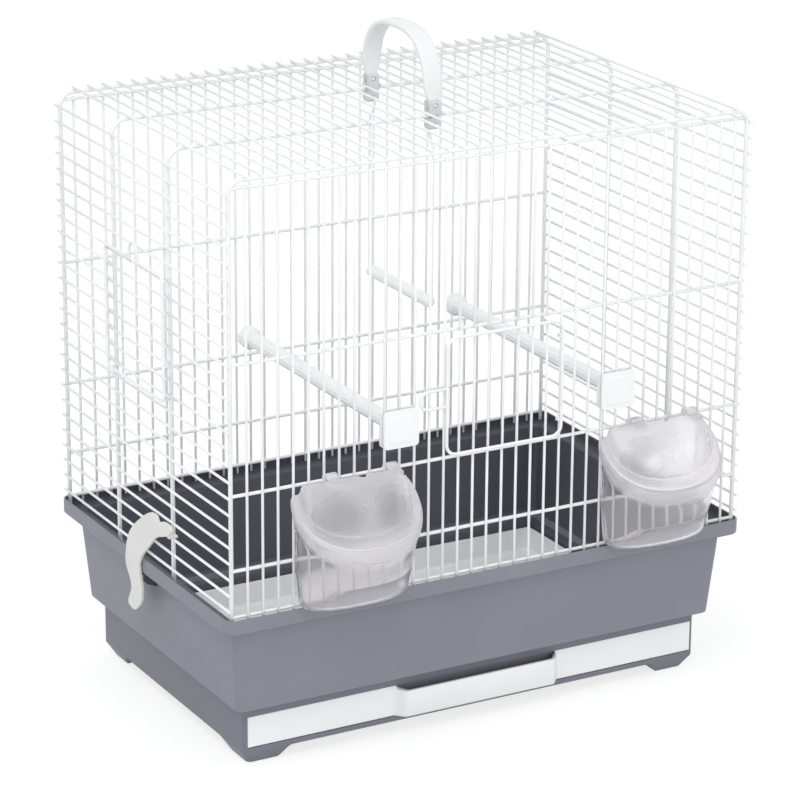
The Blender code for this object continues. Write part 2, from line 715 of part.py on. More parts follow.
def hood_section(centre, half, reach, wall, z_back, slope, steps=10):
    """Bent strip that opens toward the cage, in a plane that falls to the front."""
    outer, inner = [], []
    for i in range(steps + 1):
        t = math.pi * i / steps
        y = reach * math.sin(t)
        outer.append((centre + half * math.cos(t), -FEEDER_BACK - y, z_back + slope * y))
        y = (reach - wall) * math.sin(t)
        inner.append((centre + (half - wall) * math.cos(t), -FEEDER_BACK - y, z_back + slope * y))
    return outer + inner[::-1]


def make_feeder_hood(name, first, mat):
    """Slanted clear hood on the cup's rim, hooked over the cross wire."""
    middle = feeder_centre(first)
    centre = middle + FEEDER_SHIFT
    half, reach = FEEDER_HALF_WIDTH - FIT, FEEDER_REACH - FIT
    slope = (FEEDER_LIP_FRONT - FEEDER_LIP_BACK) / FEEDER_REACH
    base = FEEDER_LIP_BACK + FIT
    wall, flange = FEEDER_WALL, FEEDER_FLANGE
    sections = [
        hood_section(centre, half, reach, flange + wall, base, slope),
        hood_section(centre, half, reach, flange + wall, base + wall, slope),
        hood_section(centre, half - flange, reach - flange, wall, base + wall + 0.001, slope),
    ]
    for t in (0.35, 0.65, 0.88):
        depth = (reach - flange) * (1 - t) ** 0.85
        rise = base + (HOOD_TOP - base) * t
        sections.append(hood_section(centre, half - flange - 0.006 * t ** 3, max(depth, 0.005), wall, rise,
                                     slope * (1 - t)))
    sections.append(hood_section(centre, half - flange - 0.009, 0.0042, 0.0038, HOOD_TOP, 0))
    hood = build(name, [loft(sections)], mat, 35)
    y, z = -CROSS_OUT, CROSS_UNDER_DOOR
    inner = CROSS_RADIUS + FIT + 0.0001
    outer = inner + HOOK_WALL
    hooks = []
    for way in (-1, 1):
        x = middle + way * 2 * CAGE_WIDTH / GAPS - HOOK_WIDTH / 2
        outline = arc((x, y, z), Y_AXIS, Z_AXIS, outer, -20, 150, 8)
        outline += [Vector((x, -FEEDER_BACK - HOOK_REACH, z + 0.0010)), Vector((x, -FEEDER_BACK - HOOK_REACH, z - 0.0022)),
                    Vector((x, y - inner - 0.0003, z - 0.0022))]
        outline += arc((x, y, z), Y_AXIS, Z_AXIS, inner, 180, -20, 8)
        hooks.append(extrude(outline, (HOOK_WIDTH, 0, 0)))
    join(hood, build(name + "_hooks", hooks))
    return hood


def make_feeders(mat):
    """Both feeders, each turning on the cross wire that it hooks over."""
    for tag, first in zip(("left", "right"), FEEDER_FIRST_WIRES):
        cup = make_feeder_cup("feeder_cup_" + tag, first, mat)
        hood = make_feeder_hood("feeder_hood_" + tag, first, mat)
        point = Vector((feeder_centre(first), -CROSS_OUT, CROSS_UNDER_DOOR))
        hang(point, "feeder_axis_" + tag, cup, hood)


def make_perch(tag, index, mat):
    """Perch with a square flange behind the front wires, an eight-sided end block and its outside plate."""
    x, z = wire_x(index), PERCH_HEIGHT
    front = -FACE_WIRE_OUT + WIRE_RADIUS + FIT
    half, thick = PERCH_PLATE / 2, PERCH_PLATE_THICKNESS
    flange = extrude([(p.x + x, front, p.y + z) for p in rounded_rectangle(half, half, 0.003, 0, 2)],
                     (0, thick, 0))
    perch = build("perch_" + tag, [flange], mat)
    end = front + PERCH_LENGTH
    rings = []
    for y in (front + thick / 2, end - PERCH_BLOCK_LENGTH / 2):
        rings.append(arc((x, y, z), X_AXIS, Z_AXIS, PERCH_RADIUS, 0, 337.5, 15))
    join(perch, build("perch_rod_" + tag, [loft(rings)]))
    block = []
    for y, share in ((end - PERCH_BLOCK_LENGTH, 0.8), (end - PERCH_BLOCK_LENGTH * 0.8, 1),
                     (end - PERCH_BLOCK_LENGTH * 0.15, 1), (end, 0.8)):
        block.append(arc((x, y, z), X_AXIS, Z_AXIS, PERCH_BLOCK_RADIUS * share, 22.5, 337.5, 7))
    join(perch, build("perch_block_" + tag, [loft(block)]))
    outside = -FACE_WIRE_OUT - WIRE_RADIUS - FIT
    pegs, holes = [], []
    for way in (-1, 1):
        px, pz = x + way * CAGE_WIDTH / GAPS / 2, z + way * half * 0.6
        pegs.append(cylinder((px, outside - thick / 2, pz), (px, front + thick - FIT, pz), PERCH_PEG, 10))
        holes.append(cylinder((px, front - 0.002, pz), (px, front + thick + 0.002, pz), PERCH_PEG + FIT, 10))
    cut(perch, build("perch_holes_" + tag, holes))
    plate = extrude([(p.x + x, outside, p.y + z) for p in rounded_rectangle(half, half, 0.003, 0, 2)],
                    (0, -thick, 0))
    holder = build("perch_holder_" + tag, [plate], mat)
    join(holder, build("perch_pegs_" + tag, pegs))
    return perch, holder


def make_swing(mat, wire_mat):
    """Swing bar on two hanger wires that turn in the eyes of the handle clips."""
    eye = SWING_EYE
    z = SWING_BAR_HEIGHT
    face = CLIP_DEPTH / 2
    bar_end = SWING_BAR_LENGTH / 2
    beside = MIDDLE_HOOP - face - FIT - SWING_WIRE
    outside = bar_end + FIT + SWING_WIRE
    hangers = []
    for tag, side in (("front", -1), ("back", 1)):
        path = [(0, side * (MIDDLE_HOOP + face + 0.0015), eye), (0, side * beside, eye),
                (0, side * beside, eye - 0.007), (0, side * outside, eye - 0.016), (0, side * outside, z),
                (0, side * (bar_end - SWING_SOCKET + 0.0005), z)]
        hangers.append(build("swing_hanger_" + tag, [sweep(path, SWING_WIRE, 6, X_AXIS)], wire_mat))
    rings = []
    r = SWING_BAR_RADIUS
    for y, radius in ((-bar_end, r * 0.8), (-bar_end + 0.001, r), (bar_end - 0.001, r), (bar_end, r * 0.8)):
        rings.append(arc((0, y, z), X_AXIS, Z_AXIS, radius, 0, 337.5, 15))
    swing = build("swing_bar", [loft(rings)], mat)
    bores = []
    for side in (-1, 1):
        bores.append(cylinder((0, side * (bar_end - SWING_SOCKET), z), (0, side * (bar_end + 0.002), z),
                              SWING_WIRE + FIT, 8))
    cut(swing, build("swing_bores", bores))
    hang(Vector((0, 0, eye)), "swing_axis", swing, *hangers)


def make_handle(mat):
    """Arched strap that is narrow at its pinned feet and wide at the top."""
    pivot = HANDLE_PIVOT
    half_span = MIDDLE_HOOP
    shoulder = pivot + HANDLE_PIVOT_RISE * 0.66
    rise = HANDLE_TOP - HANDLE_THICKNESS / 2 - shoulder
    thick = HANDLE_THICKNESS / 2
    steps = 12
    stations = []
    for i in range(steps + 1):
        t = math.pi * i / steps
        y = -half_span * math.copysign(abs(math.cos(t)) ** 0.75, math.cos(t))
        stations.append(Vector((0, y, shoulder + rise * math.sin(t) ** 0.8)))
    foot = HANDLE_FOOT_WIDTH / 2
    path = [Vector((0, -half_span, pivot - foot)), Vector((0, -half_span, pivot - foot / 2))] + stations
    path += [Vector((0, half_span, pivot - foot / 2)), Vector((0, half_span, pivot - foot))]
    rings = []
    for i, point in enumerate(path):
        before, after = path[max(i - 1, 0)], path[min(i + 1, len(path) - 1)]
        along = (after - before).normalized()
        out = X_AXIS.cross(along).normalized()
        above = point.z - pivot
        half = min(HANDLE_WIDTH / 2, foot + 0.36 * max(above, 0))
        if i in (0, len(path) - 1):
            half = foot * 0.6
        rings.append([point + half * sx * X_AXIS + thick * so * out for sx, so in
                      ((-1, -0.4), (-1, 0.4), (-0.8, 1), (0.8, 1), (1, 0.4), (1, -0.4), (0.8, -1), (-0.8, -1))])
    handle = build("carry_handle", [loft(rings)], mat, 35)
    pins = []
    for side in (-1, 1):
        reach = CLIP_DEPTH / 2 - 0.0002
        pins.append(cylinder((0, side * half_span - reach, pivot), (0, side * half_span + reach, pivot),
                             HANDLE_PIN, 10))
    join(handle, build("handle_pins", pins))
    hang(Vector((0, 0, pivot)), "handle_axis", handle)


def make_handle_clip(tag, side, mat):
    """Clip on a middle hoop: a fork for the handle above, an eye for the swing below."""
    y = side * MIDDLE_HOOP
    half_x, half_y = CLIP_WIDTH / 2, CLIP_DEPTH / 2
    pivot = HANDLE_PIVOT
    eye = SWING_EYE
    low, high = eye - 0.0035, pivot + 0.0038
    outline = [(-1, low + 0.0015), (-0.6, low), (0.6, low), (1, low + 0.0015),
               (1, high - 0.0015), (0.6, high), (-0.6, high), (-1, high - 0.0015)]
    clip = build("handle_clip_" + tag, [extrude([(-half_x, y + half_y * a, z) for a, z in outline],
                                                (CLIP_WIDTH, 0, 0))], mat)
    reach = half_y + 0.003
    channel = cylinder((-half_x - 0.002, y, CAGE_TOP), (half_x + 0.002, y, CAGE_TOP), HOOP_RADIUS + FIT, 12)
    cut(clip, build("clip_channel_" + tag, [channel]))
    entry = box((-half_x - 0.002, min(y, y + side * reach), CAGE_TOP - HOOP_RADIUS * 0.8),
                (half_x + 0.002, max(y, y + side * reach), CAGE_TOP + HOOP_RADIUS * 0.8))
    cut(clip, build("clip_entry_" + tag, [entry]))
    slot = HANDLE_THICKNESS / 2 + FIT
    fork = box((-half_x - 0.002, y - slot, pivot - HANDLE_FOOT_WIDTH / 2 - 2 * FIT),
               (half_x + 0.002, y + slot, high + 0.002))
    cut(clip, build("clip_fork_" + tag, [fork]))
    holes = [
        cylinder((0, y - reach, pivot), (0, y + reach, pivot), HANDLE_PIN + FIT, 10),
        cylinder((0, y - reach, eye), (0, y + reach, eye), SWING_WIRE + FIT, 8),
    ]
    cut(clip, build("clip_holes_" + tag, holes))
    return clip


def make_side_clip(tag, side, mat):
    """Rim clip: a two-horned plate on a knuckle that turns below the rim."""
    axis = clip_axis(side)
    near = side * (RIM_X + SIDE_CLIP_GAP)
    out = side * SIDE_CLIP_THICKNESS
    plate = extrude([(near, axis.y + y, axis.z + z) for y, z in SIDE_CLIP_OUTLINE], (out, 0, 0))
    clip = build("side_clip_" + tag, [plate], mat, 35)
    arms = []
    for y in SIDE_CLIP_HORNS:
        z = row_z(3) + WIRE_RADIUS + 2 * FIT
        end = side * (SIDE_WIRE_OUT - WIRE_RADIUS - 0.0015)
        profile = [(near + out * 0.5, z), (end, z), (end, z + 0.0018), (near + out * 0.5, z + 0.0034)]
        arms.append(extrude([(px, y - 0.0022, pz) for px, pz in profile], (0, 0.0044, 0)))
    join(clip, build("side_clip_arms_" + tag, arms))
    half = KNUCKLE_LENGTH / 2
    knuckle = cylinder(axis - half * Y_AXIS, axis + half * Y_AXIS, KNUCKLE_RADIUS, 12)
    join(clip, build("side_clip_knuckle_" + tag, [knuckle]))
    reach = half + PIN_LENGTH
    pin = cylinder(axis - reach * Y_AXIS, axis + reach * Y_AXIS, PIN_RADIUS, 8)
    join(clip, build("side_clip_pin_" + tag, [pin]))
    hang(axis, "side_clip_axis_" + tag, clip)


def main():
    """Clear the scene and build every piece."""
    for obj in list(bpy.data.objects):
        bpy.data.objects.remove(obj)
    wire = material("white_coated_wire", (0.86, 0.86, 0.85), 0.35)
    grey = material("grey_moulding", (0.26, 0.27, 0.32), 0.45)
    white = material("white_moulding", (0.84, 0.84, 0.85), 0.4)
    clear = material("clear_plastic", (0.86, 0.84, 0.90), 0.08, 0.9)
    ivory = material("ivory_moulding", (0.76, 0.76, 0.72), 0.45)
    dark = material("dark_moulding", (0.12, 0.12, 0.13), 0.5)
    make_tray(grey)
    pan = make_drawer_pan(white)
    front = make_drawer_front(white)
    hang(Vector((0, -SKIRT_Y, FLOOR_TOP)), "drawer_slide", pan, front)
    make_front_grille(wire)
    make_back_grille(wire)
    make_side_grille("left_grille", -1, True, wire)
    make_side_grille("right_grille", 1, False, wire)
    make_roof_grille(wire)
    make_front_door(wire)
    make_side_door(wire)
    make_feeders(clear)
    for tag, index in zip(("left", "right"), PERCH_WIRES):
        make_perch(tag, index, white)
    make_swing(white, wire)
    make_handle(white)
    for tag, side in (("front", -1), ("back", 1)):
        make_handle_clip(tag, side, dark)
    for tag, side in (("left", -1), ("right", 1)):
        make_side_clip(tag, side, ivory)
    root = bpy.data.objects.new("bird_cage", None)
    root.location = (0, (FEEDER_BACK + FEEDER_REACH - RIM_Y) / 2, 0)
    for obj in list(bpy.context.scene.collection.objects):
        if obj.parent is None:
            obj.parent = root
    bpy.context.scene.collection.objects.link(root)


main()
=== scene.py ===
"""Looks of a wire bird cage on a moulded base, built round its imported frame.

The shapes are drawn about the middle of the base, in metres, and put() then moves
each one back to where the frame has that middle. Every shape is a grid of points
worked out with numpy.
"""

import math

import bpy
import numpy as np
from mathutils import Matrix, Vector


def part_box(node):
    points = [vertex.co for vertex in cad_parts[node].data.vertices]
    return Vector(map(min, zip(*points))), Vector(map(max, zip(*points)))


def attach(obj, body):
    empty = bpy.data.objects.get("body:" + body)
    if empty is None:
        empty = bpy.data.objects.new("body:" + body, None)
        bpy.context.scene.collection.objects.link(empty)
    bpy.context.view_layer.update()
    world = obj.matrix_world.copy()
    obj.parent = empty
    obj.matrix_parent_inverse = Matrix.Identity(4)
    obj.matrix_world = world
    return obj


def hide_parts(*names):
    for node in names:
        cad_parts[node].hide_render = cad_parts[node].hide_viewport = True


bl_info = {
    "name": "Bird Cage",
    "version": (1, 0, 0),
    "blender": (4, 5, 0),
    "location": "View3D > Sidebar > Bird Cage",
    "description": "Builds the visible pieces of a wire bird cage and a plain studio round it",
    "category": "Add Mesh",
}

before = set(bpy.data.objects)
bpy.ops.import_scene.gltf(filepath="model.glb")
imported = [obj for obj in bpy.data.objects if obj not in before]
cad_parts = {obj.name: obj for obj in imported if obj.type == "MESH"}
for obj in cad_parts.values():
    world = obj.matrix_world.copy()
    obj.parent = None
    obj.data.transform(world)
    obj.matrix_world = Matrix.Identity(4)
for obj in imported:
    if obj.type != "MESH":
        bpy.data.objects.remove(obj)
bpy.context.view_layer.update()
BASE_LOW, BASE_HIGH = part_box("tray_body")
_, ROOF_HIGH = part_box("roof_grille")
FACE_LOW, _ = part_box("front_grille")

# Places read from the frame
MIDDLE_Y = (BASE_LOW.y + BASE_HIGH.y) / 2
RIM_X = BASE_HIGH.x
RIM_Y = BASE_HIGH.y - MIDDLE_Y
RIM_TOP = BASE_HIGH.z
WIRE_FOOT = FACE_LOW.z
ROOF_TOP = ROOF_HIGH.z
STUB_END = ROOF_HIGH.y - MIDDLE_Y

# Fits and fine steps
FIT = 0.0003
HAIR = 0.0001
WELD = 0.00035
BEND_STEPS = 10
WIRE_SIDES = 10
HOOP_SIDES = 16

# Smoothing angles in degrees
SMOOTH = 40
WIRE_SMOOTH = 60
BASE_SMOOTH = 32

# Cut ends of the wires, in radii
TIP_LENGTH = 0.35
TIP_WIDTH = 0.6

# Flat side of the frame's six-sided hoops, in radii
HEX_FLAT = math.cos(math.radians(30))

# Most of an edge that a rounded corner takes up
EDGE_SHARE = 0.45

# Drops of coating where wires cross: sides, slope in degrees, and size in wire radii
BEAD_SIDES = 6
BEAD_TILT = 62.0
FACE_BEAD = 1.08
SIDE_BEAD = 1.15

# Rise of the wire at the rim, in its own radii
RIM_WIRE_RISE = 0.8

# Widths of the rounded edges, and how near two points have to be to count as one
FINE_EDGE = 0.0004
FACE_EDGE = 0.0005
CLIP_EDGE = 0.0007
HANDLE_CLIP_EDGE = 0.00035
SAME_POINT = 0.00001

# Wires counted from the left corner
FEEDER_FIRST_WIRES = {"left": 6, "right": 27}
FEEDER_SPAN = 5
PERCH_WIRES = {"left": 11, "right": 26}

# Directions
X_AXIS = np.array((1.0, 0.0, 0.0))
Y_AXIS = np.array((0.0, 1.0, 0.0))
Z_AXIS = np.array((0.0, 0.0, 1.0))
BOTH = np.array((-1.0, 1.0))


def length_setting(name, default, description):
    """A length that the sidebar shows in the scene's units."""
    return bpy.props.FloatProperty(
        name=name, default=default, description=description, min=0.0, precision=4, unit="LENGTH")


def colour_setting(name, default, description):
    """A colour that the sidebar shows as a swatch."""
    return bpy.props.FloatVectorProperty(
        name=name, default=default, description=description, subtype="COLOR", min=0.0, max=1.0, size=3)


def count_setting(name, default, description, **limits):
    """A whole number in the sidebar."""
    return bpy.props.IntProperty(name=name, default=default, description=description, **limits)


def angle_setting(name, degrees, description):
    """An angle, given here in degrees."""
    return bpy.props.FloatProperty(
        name=name, default=math.radians(degrees), description=description, subtype="ANGLE")


def light_setting(name, default, description, unit="NONE"):
    """How strong a light is."""
    return bpy.props.FloatProperty(name=name, default=default, description=description, min=0.0, unit=unit)


class CageWireSizes(bpy.types.PropertyGroup):
    """Sizes of the wire top."""

    pitch: length_setting("Wire spacing", 0.012, "Distance between neighbouring wires")
    gaps: count_setting("Gaps", 35, "Wire gaps across the front", min=4)
    depth: length_setting("Depth", 0.275, "Distance from the front hoop to the back hoop")
    top: length_setting("Hoop height", 0.4404, "Height of the middle hoops' centre line")
    wire: length_setting("Wire radius", 0.0010, "Radius of an upright, side or roof wire")
    cross: length_setting("Cross wire radius", 0.00125, "Radius of the level wires across the front and back")
    hoop: length_setting("Hoop radius", 0.0016, "Radius of the hoops and of the bent frames")
    hoop_bend: length_setting("Hoop bend", 0.011, "Bend radius of the middle hoops")
    frame_bend: length_setting("Frame bend", 0.010, "Bend radius of the front and back frames")
    first_row: length_setting("First row", 0.131, "Height of the lowest side wire")
    rows: count_setting("Rows", 26, "Level wires on each side", min=2)
    under_door: length_setting(
        "Cross wire under the door", 0.2155, "Height of the wire that carries the feeders")
    door_opening: length_setting("Door opening", 0.095, "Height of the front door's opening")
    feeder_opening: length_setting("Feeder opening", 0.0553, "Height of a feeder's opening")
    under_top: length_setting("Top cross wire drop", 0.0058, "Drop of the highest cross wire below the hoops")


class CageDoorSizes(bpy.types.PropertyGroup):
    """Sizes of the two wire doors."""

    wire: length_setting("Door frame radius", 0.0012, "Radius of the doors' bent frames")
    first: count_setting("First wire", 14, "Upright beside the latch")
    last: count_setting("Last wire", 22, "Upright that the door turns on")
    gap: length_setting("Gap", 0.0030, "Gap between the door and the cross wires")
    corner: length_setting("Corner", 0.008, "Bend radius of the front door's corners")
    latch_reach: length_setting("Latch reach", 0.022, "How far the latch loop reaches past the door")
    latch_height: length_setting("Latch height", 0.0132, "Height of the latch loop")
    curl: length_setting("Curl wire radius", 0.0008, "Radius of the wire curled round the hinge upright")
    side_first: count_setting("Row under the door", 11, "Row below the side door")
    side_last: count_setting("Last cut row", 18, "Row below the highest cut row")
    side_low: length_setting("Side door foot", 0.005, "Drop of the side door's frame below its lowest wire")
    side_high: length_setting("Side door head", 0.003, "Rise of the side door's frame above its highest wire")
    loop_width: length_setting("Lift loop width", 0.0124, "Width of the side door's finger loop")
    loop_height: length_setting("Lift loop height", 0.013, "Height of the side door's finger loop")


class CageBaseSizes(bpy.types.PropertyGroup):
    """Sizes of the moulded base and its drawer."""

    wall: length_setting("Wall", 0.0025, "Thickness of the base's wall")
    corner: length_setting("Corner", 0.006, "Corner radius of the wall")
    edge: length_setting("Edge radius", 0.0008, "Radius of the moulded edges")
    skirt_top: length_setting("Skirt top", 0.0395, "Height of the step above the drawer")
    skirt_bottom: length_setting("Skirt bottom", 0.010, "Height of the base between its feet")
    floor: length_setting("Floor", 0.0143, "Height of the floor under the drawer")
    foot: length_setting("Foot length", 0.023, "Length of a foot along the skirt")
    drawer_height: length_setting("Drawer height", 0.0233, "Height of the drawer's front")
    pull: length_setting("Pull length", 0.124, "Length of the drawer's pull")
    pull_reach: length_setting("Pull reach", 0.008, "How far the pull stands out")
    pull_ramp: length_setting("Pull ramp", 0.009, "Length of the slope at each end of the pull")


class CageFeederSizes(bpy.types.PropertyGroup):
    """Sizes of the clear feeders."""

    half_width: length_setting("Half width", 0.0484, "Half of a feeder's width")
    reach: length_setting("Reach", 0.044, "How far a feeder stands out from the base")
    wall: length_setting("Wall", 0.0016, "Thickness of the clear wall")
    height: length_setting("Height", 0.0828, "Height from the bottom to the back of the lip")
    lip_drop: length_setting("Lip drop", 0.0070, "Drop of the lip's back below the carrying wire")
    lip_fall: length_setting("Lip fall", 0.0322, "How much lower the lip is at the front")
    lip_band: length_setting("Lip band", 0.012, "Height of the flared band")
    flange: length_setting("Flange", 0.0055, "Width of the hood's flat edge")
    scoop: length_setting("Scoop", 0.0004, "Depth of the two shallow windows in the hood")
    shift: bpy.props.FloatProperty(
        name="Shift", default=-0.0118, unit="LENGTH", precision=4,
        description="Offset of the cup from its hooks")


class CageFittingSizes(bpy.types.PropertyGroup):
    """Sizes of the perches, the swing, the handle and the clips."""

    perch: length_setting("Perch radius", 0.006, "Radius of a perch")
    perch_length: length_setting("Perch length", 0.236, "Length of a perch")
    perch_rise: length_setting(
        "Perch rise", 0.0295, "Height of the perches above the cross wire under the door")
    plate: length_setting("Plate", 0.028, "Side of the square perch plates")
    plate_thick: length_setting("Plate thickness", 0.003, "Thickness of the square perch plates")
    block: length_setting("End block", 0.009, "Radius of the eight-sided block at the end of a perch")
    block_length: length_setting("End block length", 0.011, "Length of that block")
    swing: length_setting("Swing radius", 0.0045, "Radius of the swing's bar")
    swing_length: length_setting("Swing length", 0.092, "Length of the swing's bar")
    swing_drop: length_setting("Swing drop", 0.134, "Drop of the bar below its eyes")
    handle_top: length_setting("Handle height", 0.500, "Height of the top of the handle")
    handle_width: length_setting("Handle width", 0.0150, "Width of the handle at its top")
    handle_thick: length_setting("Handle thickness", 0.0046, "Thickness of the handle")
    pivot_rise: length_setting("Handle pivot", 0.0076, "Height of the handle's pins above the hoops")
    clip_depth: length_setting("Clip depth", 0.0092, "Depth of a handle clip")
    eye_drop: length_setting("Swing eye", 0.0064, "Drop of the swing's eyes below the hoops")


class CageFinish(bpy.types.PropertyGroup):
    """Colours of the finishes."""

    wire: colour_setting("Wire coating", (0.91, 0.91, 0.92), "White coating of the wires")
    grey: colour_setting("Base", (0.228, 0.240, 0.276), "Grey moulded base")
    white: colour_setting("White moulding", (0.92, 0.92, 0.925), "Drawer, perches and handle")
    ivory: colour_setting("Side clips", (0.76, 0.76, 0.72), "Off-white side clips")
    dark: colour_setting("Handle clips", (0.66, 0.66, 0.67), "Clips under the handle")
    clear: colour_setting("Feeders", (0.974, 0.962, 0.980), "Faint tint of the clear feeders")


class CageStudio(bpy.types.PropertyGroup):
    """Camera and light."""

    place: bpy.props.FloatVectorProperty(
        name="Camera", default=(-1.2009, -2.1176, 1.0548), subtype="XYZ", unit="LENGTH", precision=4,
        description="Where the camera stands")
    turn: angle_setting("Turn", 29.318, "Turn to the right of straight ahead")
    dip: angle_setting("Dip", 18.988, "Downward tilt")
    roll: angle_setting("Roll", 0.424, "Turn about the line of sight")
    lens: bpy.props.FloatProperty(name="Lens", default=155.97, description="Focal length in millimetres")
    sky: light_setting("Sky", 0.88, "Strength of the light from all round")
    key: light_setting("Key light", 15.0, "Power of the soft light over the left", "POWER")
    fill: light_setting("Front light", 8.0, "Power of the soft light at the front", "POWER")
    floor: length_setting("Floor size", 16.0, "Side of the floor")


# Grids and shells

def grid_faces(rows, columns, close_rows=False, close_columns=True):
    """Quads between neighbouring points of a grid that is numbered row by row."""
    i = np.arange(rows if close_rows else rows - 1)[:, None]
    j = np.arange(columns if close_columns else columns - 1)[None, :]
    above = (i + 1) % rows
    beside = (j + 1) % columns
    return np.stack([i * columns + j, i * columns + beside, above * columns + beside, above * columns + j],
                    -1).reshape(-1, 4)


def grid_of(x, y, z):
    """Grid of points from numbers and arrays that are repeated to one shape."""
    return np.stack(np.broadcast_arrays(x, y, z), -1).astype(float)


def row_points(x, y, z):
    """List of points from numbers and arrays that are repeated to one shape."""
    return grid_of(x, y, z).reshape(-1, 3)


def turns(sides):
    """Even angles once round a circle."""
    return 2 * np.pi * np.arange(sides) / sides


def signed_power(values, power):
    """Powers that keep the sign of what is raised."""
    return np.sign(values) * np.abs(values) ** power


def skin(grid, close_rows=False, close_columns=True, caps=True):
    """Shell over a grid of points, with a flat cap on each open end."""
    rows, columns = grid.shape[:2]
    faces = [grid_faces(rows, columns, close_rows, close_columns)]
    if caps and not close_rows:
        faces += [np.arange(columns)[None, :], np.arange((rows - 1) * columns, rows * columns)[None, :]]
    if caps and close_rows and not close_columns:
        faces += [np.arange(0, rows * columns, columns)[None, :],
                  np.arange(columns - 1, rows * columns, columns)[None, :]]
    return grid.reshape(-1, 3), faces


def skins(grids):
    """Shells over many closed grids of one size, each with a flat cap on both ends."""
    count, rows, sides = grids.shape[:3]
    shift = (np.arange(count) * rows * sides)[:, None, None]
    quads = (grid_faces(rows, sides)[None] + shift).reshape(-1, 4)
    caps = np.stack([np.arange(sides), np.arange((rows - 1) * sides, rows * sides)])
    return grids.reshape(-1, 3), [quads, (caps[None] + shift).reshape(-1, sides)]


def merge(*shells):
    """Several shells as one list of points and faces."""
    counts = np.cumsum([0] + [len(points) for points, _ in shells])
    faces = [face + start for (_, group), start in zip(shells, counts) for face in group]
    return np.concatenate([points for points, _ in shells]), faces


def unit(vectors):
    """Vectors scaled to length one."""
    return vectors / np.linalg.norm(vectors, axis=-1, keepdims=True)


def square_axes(along):
    """Two directions square to each wire: N = guide x T and B = T x N."""
    guide = np.where(np.abs(along[..., 2:3]) < 0.9, Z_AXIS, X_AXIS)
    one = unit(np.cross(guide, along))
    return one, np.cross(along, one)


def straight_wires(starts, ends, radius, sides=WIRE_SIDES):
    """Round bars: ring = P + r (cos a * N + sin a * B), with smaller rings at the two cut ends."""
    starts, ends = np.atleast_2d(starts).astype(float), np.atleast_2d(ends).astype(float)
    span = np.linalg.norm(ends - starts, axis=1)[:, None]
    along = (ends - starts) / span
    one, two = square_axes(along)
    inset = radius * TIP_LENGTH
    steps = np.concatenate([0 * span, 0 * span + inset, span - inset, span], axis=1)
    radii = radius * np.array((TIP_WIDTH, 1.0, 1.0, TIP_WIDTH))
    centres = starts[:, None] + along[:, None] * steps[:, :, None]
    angle = turns(sides)
    ring = np.cos(angle)[:, None] * one[:, None] + np.sin(angle)[:, None] * two[:, None]
    return skins(centres[:, :, None] + ring[:, None] * radii[None, :, None, None])


def weld_beads(centres, radius):
    """Small drops of coating where two wires cross: rings of r cos e at height r sin e."""
    rise, angle = np.radians((-BEAD_TILT, 0.0, BEAD_TILT))[:, None], turns(BEAD_SIDES)
    ring = grid_of(np.cos(rise) * np.cos(angle), np.cos(rise) * np.sin(angle), np.sin(rise)) * radius
    return skins(np.atleast_2d(centres)[:, None, None] + ring[None])


def bent_wire(path, radius, normal, sides=HOOP_SIDES, closed=False):
    """Round wire along a plane path: ring = P + r (cos a * n + sin a * s m), with n the plane's
    normal, m square to n and to the path, and s the stretch that keeps the wire round in a bend."""
    path = np.asarray(path, float)
    ahead = unit(np.roll(path, -1, axis=0) - path)
    behind = np.roll(ahead, 1, axis=0)
    if not closed:
        ahead[-1], behind[0] = ahead[-2], ahead[0]
    along = unit(ahead + behind)
    across = unit(np.cross(normal, along))
    stretch = 1 / np.maximum(0.5, (along * ahead).sum(1))[:, None]
    angle = turns(sides)
    radii = np.full(len(path), float(radius))
    if not closed:
        tip = radius * TIP_LENGTH
        path = np.concatenate([path[:1], path[:1] + tip * along[0], path[1:-1],
                               path[-1:] - tip * along[-1], path[-1:]])
        across = np.concatenate([across[:1], across, across[-1:]])
        stretch = np.concatenate([stretch[:1], stretch, stretch[-1:]])
        radii = np.concatenate([[TIP_WIDTH * radius], radii, [TIP_WIDTH * radius]])
    ring = (np.cos(angle)[None, :, None] * np.asarray(normal, float)
            + np.sin(angle)[None, :, None] * (across * stretch)[:, None])
    return skin(path[:, None] + radii[:, None, None] * ring, close_rows=closed, caps=not closed)


def arc(centre, one, two, radius, first, last, steps=BEND_STEPS):
    """Points of a circular arc: C + r (cos a * one + sin a * two), angles in degrees."""
    angle = np.radians(np.linspace(first, last, steps + 1))[:, None]
    return np.asarray(centre, float) + radius * (np.cos(angle) * one + np.sin(angle) * two)


def rounded_corners(line, radius, steps=3):
    """Every inner corner of a line of points replaced by the curve (1-t)^2 A + 2t(1-t) V + t^2 B,
    with A and B on the two edges, at most the radius and a fixed share of the edge away from the corner V."""
    line = np.asarray(line, float)
    corner, before, after = line[1:-1], line[:-2], line[2:]
    back, ahead = before - corner, after - corner
    back_length = np.linalg.norm(back, axis=1)[:, None]
    ahead_length = np.linalg.norm(ahead, axis=1)[:, None]
    a = corner + back / back_length * np.minimum(radius, EDGE_SHARE * back_length)
    b = corner + ahead / ahead_length * np.minimum(radius, EDGE_SHARE * ahead_length)
    t = np.linspace(0, 1, steps + 1)[None, :, None]
    curve = (1 - t) ** 2 * a[:, None] + 2 * t * (1 - t) * corner[:, None] + t ** 2 * b[:, None]
    return np.concatenate([line[:1], curve.reshape(-1, line.shape[1]), line[-1:]])


